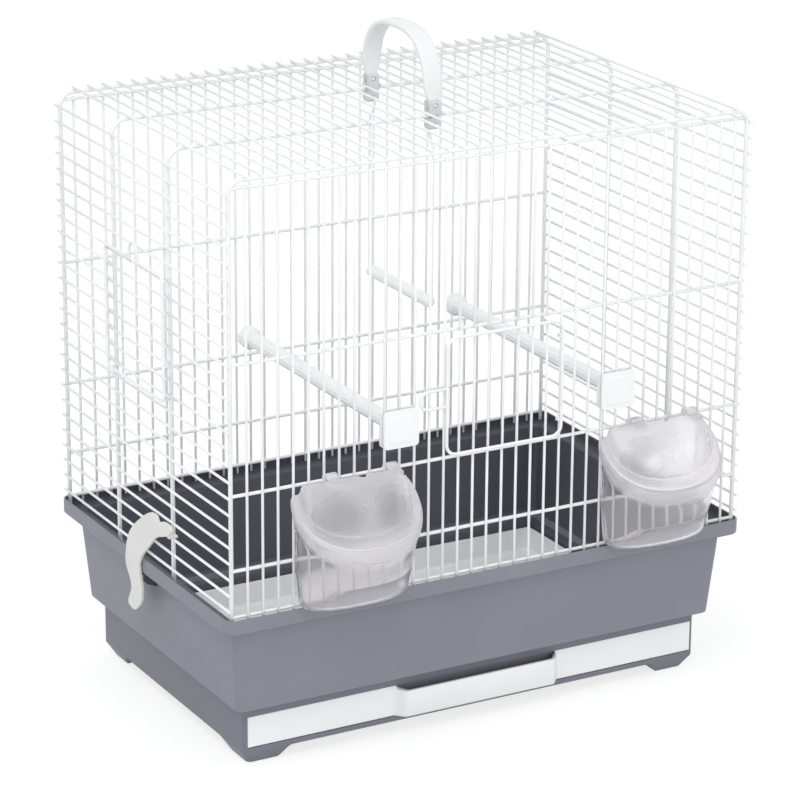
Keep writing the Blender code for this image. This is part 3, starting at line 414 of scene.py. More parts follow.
def rounded_rectangles(rows, steps=8, shift=0.0):
    """Grid of rings round a rectangle, each point the middle of a corner's bend plus r (cos a, sin a);
    each row gives half x, half y, height and corner radius."""
    half_x, half_y, height, radius = np.asarray(rows, float).T[:, :, None]
    angle = np.radians(np.concatenate([np.linspace(q * 90, q * 90 + 90, steps + 1) for q in range(4)]))[None]
    sx = np.repeat((1, -1, -1, 1), steps + 1)[None]
    sy = np.repeat((1, 1, -1, -1), steps + 1)[None]
    x = sx * (half_x - radius) + radius * np.cos(angle)
    y = sy * (half_y - radius) + radius * np.sin(angle) + shift
    return grid_of(x, y, height)


def prism(outline, along):
    """Flat outline pushed along a direction."""
    outline = np.asarray(outline, float)
    return skin(np.stack([outline, outline + np.asarray(along, float)]))


def box(low, high):
    """Closed box between two corners."""
    (a, b, c), (d, e, f) = low, high
    return prism([(a, b, c), (d, b, c), (d, e, c), (a, e, c)], (0, 0, f - c))


def mirror_x(shell):
    """The same shell on the other side of the middle."""
    points, faces = shell
    return points * (-1, 1, 1), faces


# Objects

def put(name, shell, slot=None, body=None, stands_for=(), edge=0.0, smooth=SMOOTH, cuts=(), shade=None,
        finish=None):
    """Make a piece at the origin, cut it, round its edges, and let it ride on its body. The slot also
    names the finish, unless one is given. shade turns the points into numbers from 0 to 1, which the
    finish reads as the attribute "shade": painted shade on a moulding, haze on clear plastic."""
    points, faces = shell
    mesh = bpy.data.meshes.new(name)
    rows = [row for face in faces for row in face.tolist()]
    mesh.from_pydata((points + (0, MIDDLE_Y, 0)).tolist(), [], rows)
    obj = bpy.data.objects.new(name, mesh)
    bpy.context.scene.collection.objects.link(obj)
    bpy.context.view_layer.objects.active = obj
    turn_outwards(mesh)
    for cutter in cuts:
        cut(obj, cutter)
    mesh = obj.data
    mesh.shade_smooth()
    mesh.set_sharp_from_angle(angle=math.radians(smooth))
    if shade:
        note_shade(mesh, shade)
    finish = finish or FINISHES.get(slot)
    if finish:
        mesh.materials.clear()
        mesh.materials.append(finish)
    if edge:
        soften(obj, edge)
    if body:
        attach(obj, body)
        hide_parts(*stands_for)
    return obj


def note_shade(mesh, shade):
    """Write the attribute "shade" from the points of a mesh: painted shade on a moulding, haze on clear
    plastic.
    """
    points = np.empty(3 * len(mesh.vertices))
    mesh.vertices.foreach_get("co", points)
    made = mesh.attributes.new("shade", "FLOAT", "POINT")
    made.data.foreach_set("value", shade(points.reshape(-1, 3) - (0, MIDDLE_Y, 0)).astype(np.float32))


def whole(points):
    """Shade 1 everywhere."""
    return np.ones(len(points))


def turn_outwards(mesh):
    """Point the faces of every closed shell outwards."""
    bpy.ops.object.mode_set(mode="OBJECT")
    for other in bpy.context.selected_objects:
        other.select_set(False)
    bpy.context.view_layer.objects.active.select_set(True)
    bpy.ops.object.mode_set(mode="EDIT")
    bpy.ops.mesh.select_all(action="SELECT")
    bpy.ops.mesh.normals_make_consistent(inside=False)
    bpy.ops.object.mode_set(mode="OBJECT")
    mesh.update()


def cut(obj, shell):
    """Take a closed shell out of a piece for good."""
    tool = put(obj.name + "_cutter", shell)
    modifier = obj.modifiers.new("cut", "BOOLEAN")
    modifier.operation = "DIFFERENCE"
    modifier.solver = "EXACT"
    modifier.object = tool
    graph = bpy.context.evaluated_depsgraph_get()
    made = bpy.data.meshes.new_from_object(obj.evaluated_get(graph))
    obj.modifiers.clear()
    old = obj.data
    obj.data = made
    bpy.data.meshes.remove(old)
    bpy.data.objects.remove(tool)


def soften(obj, width, weld=False):
    """Live modifiers that round the edges sharper than the smoothing angle."""
    if weld:
        obj.modifiers.new("weld", "WELD").merge_threshold = SAME_POINT
    bevel = obj.modifiers.new("edges", "BEVEL")
    bevel.width = width
    bevel.segments = 2
    bevel.limit_method = "ANGLE"
    bevel.angle_limit = math.radians(SMOOTH)
    bevel.harden_normals = True


# Finishes

def new_finish(name):
    """An empty node material and its Principled shader."""
    finish = bpy.data.materials.new(name)
    finish.use_nodes = True
    return finish, finish.node_tree, finish.node_tree.nodes["Principled BSDF"]


def feed(tree, node, inputs):
    """Give a node's inputs their numbers and colours, or link them to other nodes' outputs."""
    for key, value in inputs.items():
        if isinstance(value, bpy.types.NodeSocket):
            tree.links.new(value, node.inputs[key])
        else:
            node.inputs[key].default_value = value
    return node


def noise(tree, scale, detail=2.0, stretch=(1, 1, 1)):
    """Noise on the object's own coordinates, in features per metre."""
    place = tree.nodes.new("ShaderNodeTexCoord").outputs["Object"]
    mapping = feed(tree, tree.nodes.new("ShaderNodeMapping"), {"Vector": place, "Scale": stretch})
    made = feed(tree, tree.nodes.new("ShaderNodeTexNoise"), {
        "Vector": mapping.outputs["Vector"], "Scale": scale, "Detail": detail})
    return made.outputs["Fac"]


def drift(tree, factor, colour, low, high):
    """A colour times low to high, over the middle of a noise."""
    ramp = tree.nodes.new("ShaderNodeValToRGB")
    for element, edge, share in zip(ramp.color_ramp.elements, NOISE_MIDDLE, (low, high)):
        element.position = edge
        element.color = (*(min(1.0, part * share) for part in colour), 1)
    return feed(tree, ramp, {"Fac": factor}).outputs["Color"]


def spread(tree, factor, low, high, edges):
    """Number that goes from low to high while the factor crosses its two edges."""
    made = feed(tree, tree.nodes.new("ShaderNodeMapRange"), {
        "Value": factor, "From Min": edges[0], "From Max": edges[1], "To Min": low, "To Max": high})
    return made.outputs["Result"]


def add_bump(tree, shader, height, depth, strength, under=None):
    """Bump of a real depth in metres, over another bump if one is given."""
    bump = feed(tree, tree.nodes.new("ShaderNodeBump"), {
        "Distance": depth, "Strength": strength, "Height": height})
    if under:
        tree.links.new(under.outputs["Normal"], bump.inputs["Normal"])
    tree.links.new(bump.outputs["Normal"], shader.inputs["Normal"])
    return bump


def shade_of(tree):
    """What the attribute "shade" says."""
    read = tree.nodes.new("ShaderNodeAttribute")
    read.attribute_name = "shade"
    return read.outputs["Fac"]


def coated_wire_finish(name, colour):
    """Thick white coating: soft runs along the wire, faint specks and a low gloss."""
    finish, tree, shader = new_finish(name)
    runs = add_bump(tree, shader, noise(tree, 420.0, 1.0), 0.00012, 0.5)
    add_bump(tree, shader, noise(tree, 2600.0), 0.00003, 0.4, runs)
    feed(tree, shader, {
        "Base Color": drift(tree, noise(tree, 55.0), colour, 0.955, 1.02),
        "Roughness": spread(tree, noise(tree, 260.0), 0.30, 0.44, NOISE_MIDDLE),
        "Specular IOR Level": 0.5, "Coat Weight": 0.12, "Coat Roughness": 0.25})
    return finish


def shaded(tree, colour, deep):
    """Painted shade: a colour multiplied by another, deep, where the attribute "shade" is 1."""
    made = tree.nodes.new("ShaderNodeMix")
    made.data_type = "RGBA"
    made.blend_type = "MULTIPLY"
    return feed(tree, made, {"Factor": shade_of(tree), MIX_A: colour, MIX_B: (*deep, 1)}).outputs[MIX_OUT]


def moulded_finish(name, colour, change, grain, depth, roughness, flow, deep):
    """Moulded plastic: a slow drift of the colour, an etched grain, faint flow lines, and painted shade
    toward deep where the attribute "shade" is 1.
    """
    finish, tree, shader = new_finish(name)
    etched = add_bump(tree, shader, noise(tree, grain, 3.0), depth, 0.6)
    if flow:
        add_bump(tree, shader, noise(tree, 30.0, 2.0, (0.35, 0.35, 2.4)), flow, 0.5, etched)
    feed(tree, shader, {
        # deep is the painted shade colour
        "Base Color": shaded(tree, drift(tree, noise(tree, 22.0, 3.0), colour, 1 - change, 1 + change), deep),
        "Roughness": spread(tree, noise(tree, grain * 0.4), *roughness, NOISE_MIDDLE),
        "Specular IOR Level": 0.45})
    return finish


def clear_finish(name, colour):
    """Clear moulding with a faint tint and soft waves; the attribute "shade" makes it hazy."""
    finish, tree, shader = new_finish(name)
    waves = add_bump(tree, shader, noise(tree, 70.0, 1.0), 0.0003, 0.3)
    add_bump(tree, shader, noise(tree, 900.0), 0.00003, 0.3, waves)
    shade = shade_of(tree)
    feed(tree, shader, {
        "Base Color": drift(tree, noise(tree, 40.0), colour, 0.985, 1.015),
        "Roughness": spread(tree, shade, 0.05, 0.30, (0, 1)),
        "Transmission Weight": spread(tree, shade, 0.97, 0.66, (0, 1)),
        "IOR": 1.3})
    return finish


FINISHES = {}

# The two colours among the inputs of a mix node, and its colour output
MIX_A, MIX_B, MIX_OUT = 6, 7, 2

# Part of a noise over which a finish changes
NOISE_MIDDLE = (0.3, 0.7)

# Mouldings: change of the colour, the grain's features per metre and its depth, range of roughness,
# depth of the flow lines, and the painted shade colour that the colour is multiplied by where the shade is 1
MOULDINGS = {
    "grey": (0.035, 1500.0, 0.00007, (0.42, 0.56), 0.0004, (0.28, 0.30, 0.33)),
    "white": (0.015, 1900.0, 0.00004, (0.36, 0.48), 0.0, (0.20, 0.205, 0.23)),
    "ivory": (0.03, 1300.0, 0.00006, (0.40, 0.55), 0.0, (1, 1, 1)),
    "dark": (0.06, 1700.0, 0.00006, (0.45, 0.6), 0.0, (1, 1, 1)),
}

# Painted shade on the base and on the handle
SHADE_INSIDE = 0.9
SHADE_UNDER_RIM = 0.5
SHADE_SKIRT = 0.30
SHADE_HANDLE = 0.11


def make_finishes(colours):
    """All finishes, under the names of the record's slots."""
    FINISHES["white_coated_wire"] = coated_wire_finish("white_coated_wire", colours.wire)
    FINISHES["clear_plastic"] = clear_finish("clear_plastic", colours.clear)
    for colour, look in MOULDINGS.items():
        name = colour + "_moulding"
        FINISHES[name] = moulded_finish(name, getattr(colours, colour), *look)


# Wire panels

def wire_x(sizes, index):
    """Centres of face or roof wires, counted from the left corner."""
    return (np.asarray(index) - sizes.gaps / 2) * sizes.pitch


def row_z(sizes, row):
    """Heights of side wires, counted from 1 at the bottom."""
    return sizes.first_row + (np.asarray(row) - 1) * sizes.pitch


def wire_layout(sizes):
    """Where the wires of the top lie, as plain lengths."""
    half_width = sizes.gaps * sizes.pitch / 2
    layout = {
        "half_width": half_width,
        "half_depth": sizes.depth / 2,
        "middle_hoop": sizes.depth / 6,
        "side_out": half_width + sizes.hoop + sizes.wire - WELD,
        "roof": ROOF_TOP - sizes.wire,
        "face_out": sizes.depth / 2 + sizes.hoop + sizes.wire - WELD,
        "cross_top": sizes.top - sizes.under_top,
        "over_door": sizes.under_door + sizes.door_opening,
        "under_feeder": sizes.under_door - sizes.feeder_opening,
    }
    flat = sizes.hoop * HEX_FLAT
    layout["frame_out"] = layout["side_out"] - sizes.wire - FIT - flat
    layout["frame_top"] = layout["roof"] - sizes.wire - FIT - flat
    layout["cross_out"] = layout["face_out"] - sizes.wire + WELD - sizes.cross
    return layout


def hoop_path(half, y, top, bend):
    """Path of a hoop: up from the base, round two bent corners and down again."""
    left, right = (-half + bend, y, top - bend), (half - bend, y, top - bend)
    return np.concatenate([[(-half, y, WIRE_FOOT)], arc(left, -X_AXIS, Z_AXIS, bend, 0, 90),
                           arc(right, Z_AXIS, X_AXIS, bend, 0, 90), [(half, y, WIRE_FOOT)]])


def face_panel(sizes, sign, openings):
    """Bent frame, cross wires and uprights of the front or back, with the openings left free."""
    at = wire_layout(sizes)
    y, cross_y = sign * at["face_out"], sign * at["cross_out"]
    path = hoop_path(at["frame_out"], sign * at["half_depth"], at["frame_top"], sizes.frame_bend)
    heights = np.array((at["under_feeder"], sizes.under_door, at["over_door"], at["cross_top"]))
    top = at["cross_top"] + sizes.cross
    index = np.arange(1, sizes.gaps)
    starts, ends = [], []
    free = np.zeros(len(index), bool)
    for first, last, low, high in openings:
        inside = (index >= first) & (index <= last)
        free |= inside
        x = wire_x(sizes, index[inside])
        starts += [row_points(x, y, WIRE_FOOT), row_points(x, y, high - sizes.cross)]
        ends += [row_points(x, y, low + sizes.cross), row_points(x, y, top)]
    x = wire_x(sizes, index[~free])
    starts.append(row_points(x, y, WIRE_FOOT))
    ends.append(row_points(x, y, top))
    beads = row_points(wire_x(sizes, index), (y + cross_y) / 2, heights[:, None])
    level = np.append(heights, RIM_TOP + sizes.cross * RIM_WIRE_RISE)
    return merge(
        bent_wire(path, sizes.hoop, Y_AXIS),
        straight_wires(row_points(-at["frame_out"], cross_y, level),
                       row_points(at["frame_out"], cross_y, level), sizes.cross),
        straight_wires(np.concatenate(starts), np.concatenate(ends), sizes.wire),
        weld_beads(beads, sizes.wire * FACE_BEAD))


def side_panel(sizes, side, door):
    """Level wires of one side; the rows behind the side door end at the middle hoops."""
    at = wire_layout(sizes)
    x = side * at["side_out"]
    rows = np.arange(1, sizes.rows + 1)
    behind = (rows > door.side_first) & (rows <= door.side_last + 1) if side < 0 else rows < 0
    near = at["middle_hoop"] - sizes.hoop
    full, broken = row_z(sizes, rows[~behind]), row_z(sizes, rows[behind])
    starts = [row_points(x, -STUB_END, full), row_points(x, -STUB_END, broken), row_points(x, near, broken)]
    ends = [row_points(x, STUB_END, full), row_points(x, -near, broken), row_points(x, STUB_END, broken)]
    beads = row_points(side * (at["half_width"] + sizes.hoop), BOTH * at["middle_hoop"],
                       row_z(sizes, rows)[:, None])
    return merge(straight_wires(np.concatenate(starts), np.concatenate(ends), sizes.wire),
                 weld_beads(beads, sizes.wire * SIDE_BEAD))


def roof_panel(sizes):
    """Roof wires from front to back."""
    at = wire_layout(sizes)
    x = wire_x(sizes, np.arange(1, sizes.gaps))
    beads = row_points(x, BOTH[:, None] * at["middle_hoop"], at["roof"] - sizes.wire)
    bars = straight_wires(row_points(x, -STUB_END, at["roof"]),
                          row_points(x, STUB_END, at["roof"]), sizes.wire)
    return merge(bars, weld_beads(beads, sizes.wire * SIDE_BEAD))


def middle_hoops(sizes):
    """Two bent hoops that stand in the base and carry the roof."""
    at = wire_layout(sizes)
    return merge(*(bent_wire(hoop_path(at["half_width"], y, sizes.top, sizes.hoop_bend), sizes.hoop, Y_AXIS)
                   for y in BOTH * at["middle_hoop"]))


# Doors

# Curls round the hinge wire: turns, climb in wire radii, and distance from the door's corners
CURL_TURNS = 1.9
CURL_CLIMB = 2.1
CURL_INSET = 0.012
CURL_STEPS = 40
CURL_SIDES = 8
LOOP_STEPS = 14
LATCH_SIDE_SHIFT = 0.001
DOOR_HEAD_GAP = 0.002
LATCH_WIRE = 0.98
SIDE_DOOR_OVERLAP = 0.0015
SIDE_DOOR_STUB = 0.001
SIDE_DOOR_HOOK = 0.003
SIDE_DOOR_HOOK_BEND = 0.0008


def rounded_loop(left, right, y, low, high, bend):
    """Closed path round an upright rectangle with bent corners."""
    corners = ((right - bend, high - bend, 0), (left + bend, high - bend, 90),
               (left + bend, low + bend, 180), (right - bend, low + bend, 270))
    return np.concatenate([arc((x, y, z), X_AXIS, Z_AXIS, bend, first, first + 90)
                           for x, z, first in corners])


def front_door(sizes, door):
    """Hinged door: bent frame, uprights, latch loop and two curls round the hinge wire.
    A curl is the helix C + r (cos a, sin a) that climbs a little over one wire per turn."""
    at = wire_layout(sizes)
    y = -(at["face_out"] + sizes.wire + FIT + door.wire)
    left = wire_x(sizes, door.first) + LATCH_SIDE_SHIFT
    right = wire_x(sizes, door.last)
    low = sizes.under_door + door.gap
    high = at["over_door"] - door.gap - DOOR_HEAD_GAP
    frame_path = rounded_loop(left, right, y, low, high, door.corner)
    inner_y = y + door.wire + sizes.wire - WELD
    x = wire_x(sizes, np.arange(door.first + 1, door.last))
    bars = straight_wires(row_points(x, inner_y, low - door.wire),
                          row_points(x, inner_y, high + door.wire), sizes.wire)
    middle, half = (low + high) / 2, door.latch_height / 2
    tip = left - door.latch_reach + half
    loop = np.concatenate([[(left, y, middle + half)],
                           arc((tip, y, middle), Z_AXIS, -X_AXIS, half, 0, 180, LOOP_STEPS),
                           [(left, y, middle - half)]])
    curl_radius = sizes.wire + FIT + door.curl
    turn = np.linspace(0, 2 * np.pi * CURL_TURNS, CURL_STEPS)
    rise = (turn / (2 * np.pi) - CURL_TURNS / 2) * door.curl * CURL_CLIMB
    curls = []
    for z in (low + CURL_INSET, high - CURL_INSET):
        helix = row_points(right + curl_radius * np.cos(turn),
                           -at["face_out"] + curl_radius * np.sin(turn), z + rise)
        curls.append(bent_wire(helix, door.curl, Z_AXIS, CURL_SIDES))
    return merge(bent_wire(frame_path, door.wire, Y_AXIS, closed=True), bars,
                 bent_wire(loop, door.wire * LATCH_WIRE, Y_AXIS), *curls)


def side_door(sizes, door):
    """Lifting door on the left: bent frame with a finger loop, level wires and two hooks."""
    at = wire_layout(sizes)
    wire_out = -at["side_out"] - 2 * sizes.wire - FIT - HAIR
    x = wire_out - sizes.wire - door.wire + WELD
    half = at["middle_hoop"] + SIDE_DOOR_OVERLAP
    low = float(row_z(sizes, door.side_first + 1)) - door.side_low
    high = float(row_z(sizes, door.side_last + 1)) + door.side_high
    bend, loop = door.corner / 2, door.loop_width / 2
    path = np.concatenate([
        arc((x, half - bend, high - bend), Y_AXIS, Z_AXIS, bend, 0, 90),
        [(x, loop, high)],
        arc((x, 0, high + door.loop_height - loop), Y_AXIS, Z_AXIS, loop, 0, 180, LOOP_STEPS),
        [(x, -loop, high)],
        arc((x, -half + bend, high - bend), Y_AXIS, Z_AXIS, bend, 90, 180),
        arc((x, -half + bend, low + bend), Y_AXIS, Z_AXIS, bend, 180, 270),
        arc((x, half - bend, low + bend), Y_AXIS, Z_AXIS, bend, 270, 360)])
    z = row_z(sizes, np.arange(door.side_first + 1, door.side_last + 2))
    bars = straight_wires(row_points(wire_out, -half - SIDE_DOOR_STUB, z),
                          row_points(wire_out, half + SIDE_DOOR_STUB, z), sizes.wire)
    leg = at["middle_hoop"] - sizes.hoop * HEX_FLAT - FIT - sizes.wire
    inside = -at["half_width"] + sizes.hoop + FIT + sizes.wire + HAIR
    hooks = []
    for way in (-1, 1):
        hook = [(x, way * leg, low), (inside, way * leg, low),
                (inside, way * (at["middle_hoop"] + SIDE_DOOR_HOOK), low)]
        hook = rounded_corners(hook, SIDE_DOOR_HOOK_BEND, 5)
        hooks.append(bent_wire(hook, sizes.wire, Z_AXIS, WIRE_SIDES))
    return merge(bent_wire(path, door.wire, X_AXIS, closed=True), bars, *hooks)


# Base and drawer

BASE_LIP_WALL = 0.0016
BASE_LIP_HEIGHT = 0.0116
BASE_LEDGE = 0.1177
BASE_SET_IN = 0.011
BASE_TAPER = 0.0044
BASE_SKIRT_SET_IN = 0.008
BASE_WALL_TOP = 0.101
BASE_WALL_BOTTOM = 0.0467
FOOT_TAPER = 0.006
FOOT_CURVE = 0.010
SKIRT_CORNER = 0.004
RIM_CORNER = 0.008
DRAWER_FACE = 0.003
PAN_HEIGHT = 0.0209
EAR_RISE = 0.0015
EAR_DROP = 0.0075
EAR_SINK = 0.00125
CUT_BELOW = 0.002
ARCH_STEPS = 15
PULL_WALL = 0.0015
RECESS_SINK = 0.0012
RECESS_FLOOR = 0.004
RECESS_ENDS = (-0.001, 0.0065)

# How far past an edge the base's painted shade reaches, and half the height of the painted shadow line under
# the rim
SHADE_MARGIN = 0.0005
SHADE_LINE = 0.0008


def base_layout(sizes):
    """Half sizes of the base at its wall and skirt, and of the drawer's slot."""
    wall = np.array((RIM_X, RIM_Y)) - BASE_SET_IN
    foot = wall - BASE_TAPER
    skirt = foot - BASE_SKIRT_SET_IN
    slot_x = skirt[0] - sizes.wall - 2 * FIT
    return wall, foot, skirt, slot_x


def tray_shell(sizes):
    """Base as a profile carried round a rectangle: skirt, step, tapered wall, rolled rim and inside."""
    wall, foot, skirt, _ = base_layout(sizes)
    rim = np.array((RIM_X, RIM_Y))
    lip = RIM_TOP - BASE_LIP_HEIGHT
    inner = sizes.wall
    # Half sizes, height and corner radius: up the outside, over the rim and down the inside
    outside = [
        (skirt - FOOT_TAPER, 0, SKIRT_CORNER),
        (skirt, sizes.skirt_bottom, SKIRT_CORNER),
        (skirt, BASE_WALL_BOTTOM - 0.0012, SKIRT_CORNER),
        (foot, BASE_WALL_BOTTOM, sizes.corner),
        (wall, BASE_WALL_TOP, sizes.corner),
        (wall + 0.0006, lip - 0.0026, sizes.corner),
        (wall + 0.0008, lip - 0.0002, sizes.corner),
        (rim - 0.0006, lip, RIM_CORNER),
        (rim, lip + 0.001, RIM_CORNER),
        (rim, RIM_TOP, RIM_CORNER),
        (rim - BASE_LIP_WALL, RIM_TOP, RIM_CORNER - BASE_LIP_WALL),
        (rim - BASE_LIP_WALL, BASE_LEDGE, RIM_CORNER - BASE_LIP_WALL),
        (wall - 0.001, BASE_LEDGE, sizes.corner),
        (wall - inner, BASE_LEDGE - 0.0015, sizes.corner - inner),
        (wall - inner, BASE_WALL_TOP, sizes.corner - inner),
        (foot - inner, BASE_WALL_BOTTOM + 0.001, sizes.corner - inner),
        (skirt - inner, sizes.skirt_top + 0.001, SKIRT_CORNER / 2),
        (skirt - inner, sizes.floor, SKIRT_CORNER / 2),
    ]
    rows = rounded_corners([(half[0], half[1], z, radius) for half, z, radius in outside], sizes.edge)
    return skin(rounded_rectangles(rows))


def within_rounded(points, half, radius):
    """Points that lie within an upright rectangle with rounded corners, given by its half sizes."""
    beyond = np.maximum(np.abs(points[:, :2]) - half + radius, 0)
    return np.hypot(beyond[:, 0], beyond[:, 1]) < radius


def base_shade(sizes):
    """Function that paints shade on the base: inside, in a shadow line under the rim and a little on the
    skirt.
    """
    wall, foot, skirt, _ = base_layout(sizes)
    radius = sizes.corner - sizes.wall / 2

    # Painted shade: full on the lip's inner face, nearly full inside, a shadow line under the rim, some on
    # the skirt
    def painted_shade(points):
        z = points[:, 2]
        share = np.clip((z - BASE_WALL_BOTTOM) / (BASE_WALL_TOP - BASE_WALL_BOTTOM), 0, 1)[:, None]
        half = np.where(z[:, None] < BASE_WALL_BOTTOM, skirt, foot + share * (wall - foot)) - sizes.wall / 2
        inside = within_rounded(points, half, radius) & (z > sizes.floor - SHADE_MARGIN) & (z < BASE_LEDGE)
        middle = BASE_LIP_WALL / 2
        lip = within_rounded(points, np.array((RIM_X, RIM_Y)) - middle, RIM_CORNER - middle)
        lip &= (z > BASE_LEDGE - SHADE_MARGIN) & (z < RIM_TOP - 0.0003)
        under_rim = np.abs(z - RIM_TOP + BASE_LIP_HEIGHT) < SHADE_LINE
        outside = np.where(z < BASE_WALL_BOTTOM - 0.001, SHADE_SKIRT, SHADE_UNDER_RIM * under_rim)
        return np.where(lip, 1.0, np.where(inside, SHADE_INSIDE, outside))

    return painted_shade


def foot_arch(sizes, half_length, depth, along_x):
    """Gap between two feet; its ends rise as h (1 - cos(pi t)) / 2."""
    flat = half_length - FOOT_TAPER - sizes.foot
    t = np.linspace(0, 1, ARCH_STEPS)
    rise = sizes.skirt_bottom * (1 - np.cos(np.pi * t)) / 2
    side = np.stack([-flat + FOOT_CURVE * t, rise], -1)
    outline = np.concatenate([[(-flat, -CUT_BELOW)], side, side[::-1] * (-1, 1), [(flat, -CUT_BELOW)]])
    if along_x:
        return prism(row_points(outline[:, 0], -depth, outline[:, 1]), (0, 2 * depth, 0))
    return prism(row_points(-depth, outline[:, 0], outline[:, 1]), (2 * depth, 0, 0))


def drawer_slot(sizes):
    """Room for the drawer behind the front of the skirt."""
    _, _, skirt, slot_x = base_layout(sizes)
    top = sizes.floor + FIT + sizes.drawer_height + FIT
    return box((-slot_x, -RIM_Y, sizes.floor - FIT), (slot_x, -skirt[1] + 2 * sizes.wall, top))


def clip_ears():
    """Ears under the rim that hold the pins of the two side clips."""
    high = RIM_TOP - BASE_LIP_HEIGHT + EAR_RISE
    axis = clip_axis(1)
    wall = RIM_X - BASE_SET_IN - EAR_SINK
    tip = axis[0] + KNUCKLE_RADIUS * 0.6
    ears = []
    for way in (-1, 1):
        near = axis[1] + way * (KNUCKLE_LENGTH / 2 + FIT)
        outline = [(wall, axis[2] - EAR_DROP), (axis[0], axis[2] - KNUCKLE_RADIUS),
                   (tip, axis[2] - 0.001), (tip, high), (wall, high)]
        x, z = np.array(outline).T
        ears.append(prism(row_points(x, near, z), (0, way * EAR_THICKNESS, 0)))
    ears = merge(*ears)
    return merge(ears, mirror_x(ears))


def drawer_pan_shell(sizes):
    """Shallow open pan with slightly sloping walls."""
    _, _, skirt, slot_x = base_layout(sizes)
    half_x = slot_x - 2 * FIT
    front = -skirt[1] + FIT + DRAWER_FACE + FIT
    back = skirt[1] - sizes.wall - 2 * FIT
    half_y, middle = (back - front) / 2, (back + front) / 2
    bottom = sizes.floor + FIT
    top = bottom + PAN_HEIGHT
    steps = [(0.0020, bottom, 0.0032), (0.0012, bottom + 0.0008, 0.004), (0, top, 0.004),
             (0.0018, top, 0.0022), (0.0030, bottom + 0.0042, 0.0022), (0.0050, bottom + 0.0022, 0.002)]
    rows = [(half_x - inset, half_y - inset, z, radius) for inset, z, radius in steps]
    return skin(rounded_rectangles(rounded_corners(rows, 0.0008), shift=middle))


def drawer_front_shell(sizes):
    """Drawer face: one section carried along x, pushed out by the pull's S-shaped ramp 3t^2 - 2t^3, with
    the shape that is cut out as its finger recess and the function that paints shade into the recess."""
    _, _, skirt, slot_x = base_layout(sizes)
    front = -skirt[1] + FIT
    bottom = sizes.floor + FIT
    top = bottom + sizes.drawer_height
    half = slot_x - FIT
    inner = sizes.pull / 2
    ramp = np.linspace(0, 1, 13)
    left = np.concatenate([[-half], -inner - sizes.pull_ramp * (1 - ramp)])
    x = np.concatenate([left, -left[::-1]])
    t = np.clip((inner + sizes.pull_ramp - np.abs(x)) / sizes.pull_ramp, 0, 1)
    reach = sizes.pull_reach * (3 * t ** 2 - 2 * t ** 3)
    share = np.array((0, 0, 0, 1, 1, 0.9, 0))
    y = np.array((DRAWER_FACE, DRAWER_FACE, 0, 0, 0, 0, 0)) + front
    z = np.array((bottom, top, top, top - 0.0026, bottom + 0.0016, bottom + 0.0002, bottom))
    grid = grid_of(x[:, None], y[None] - reach[:, None] * share[None], z)
    near, far = front - sizes.pull_reach + PULL_WALL, front + RECESS_SINK
    ends = inner + np.array(RECESS_ENDS)
    low = bottom + RECESS_FLOOR
    recess = prism([(-ends[1], far, low), (-ends[0], near, low), (ends[0], near, low), (ends[1], far, low)],
                   (0, 0, sizes.drawer_height))

    # Painted shade inside the finger recess behind the pull
    def painted_shade(points):
        x, y = np.abs(points[:, 0]), points[:, 1]
        edge = np.interp(x, ends, (near, far)) - HAIR
        return (y > edge) & (y < far + HAIR) & (x < ends[1] + HAIR) & (points[:, 2] > low - HAIR)

    return skin(grid), recess, painted_shade


# Feeders

WIDEST = math.radians(18)
BULGE = 2.25
HOOK_WIDTH = 0.0092
HOOD_STEPS = 72
LIP_SHARE = 0.985
CUP_FLOOR_ROWS = 8
HOOK_THICKNESS = 0.0026

# Way in from the cage: share of the half width, half depth, and rise over the opening and the lip
MOUTH_SHARE = 0.80
MOUTH_DEPTH = 0.004
MOUTH_SILL = 0.004
MOUTH_HEAD = 0.006

# Haze of the cup and what its band adds, from how far under the band and over what height
CUP_HAZE = 0.20
LIP_HAZE = 0.70
HAZE_DROP = 0.004
HAZE_RISE = 0.006

# Notch at the back of the hood: place, half sizes and height
NOTCH_PLACE = (-0.002, -0.0012)
NOTCH_HALF = (0.0032, 0.0036)
NOTCH_HEIGHT = 0.012

# Windows in the hood: place and half size across, drop and half height, and how much clearer they are
WINDOW_PLACE = 0.50
WINDOW_HALF_WIDTH = 0.62
WINDOW_DROP = 0.0165
WINDOW_HALF_HEIGHT = 0.0200
WINDOW_CLEARER = 0.45


def half_oval(centre, rows, wall=0.0, steps=48):
    """Rows of rounded half ovals that start at the rim R and are widest a little in front of it: with t
    from -w to pi + w, x = c + a C and y = -(R + b (S + s) / (1 + s)), where C, S and s are the cosine of
    t, the sine of t and the sine of w raised to 2/BULGE. Each row gives half width a, reach b and the
    heights at the back and front; wall is how far inside the shape lies."""
    half, reach, z_back, z_front = np.asarray(rows, float).T[:, :, None]
    t = np.linspace(-WIDEST, np.pi + WIDEST, steps + 1)[None]
    power = 2 / BULGE
    across, ahead = signed_power(np.cos(t), power), signed_power(np.sin(t), power)
    low = math.sin(WIDEST) ** power
    share = (ahead + low) / (1 + low)
    depth = wall + (reach - 2 * wall) * share
    x = centre + (half - wall) * across
    z = z_back + (z_front - z_back) * depth / reach
    return grid_of(x, -(RIM_Y + FIT) - depth, z)


def feeder_places(wires):
    """Middle of each feeder's hooks."""
    return {tag: float(wire_x(wires, first + FEEDER_SPAN / 2)) for tag, first in FEEDER_FIRST_WIRES.items()}


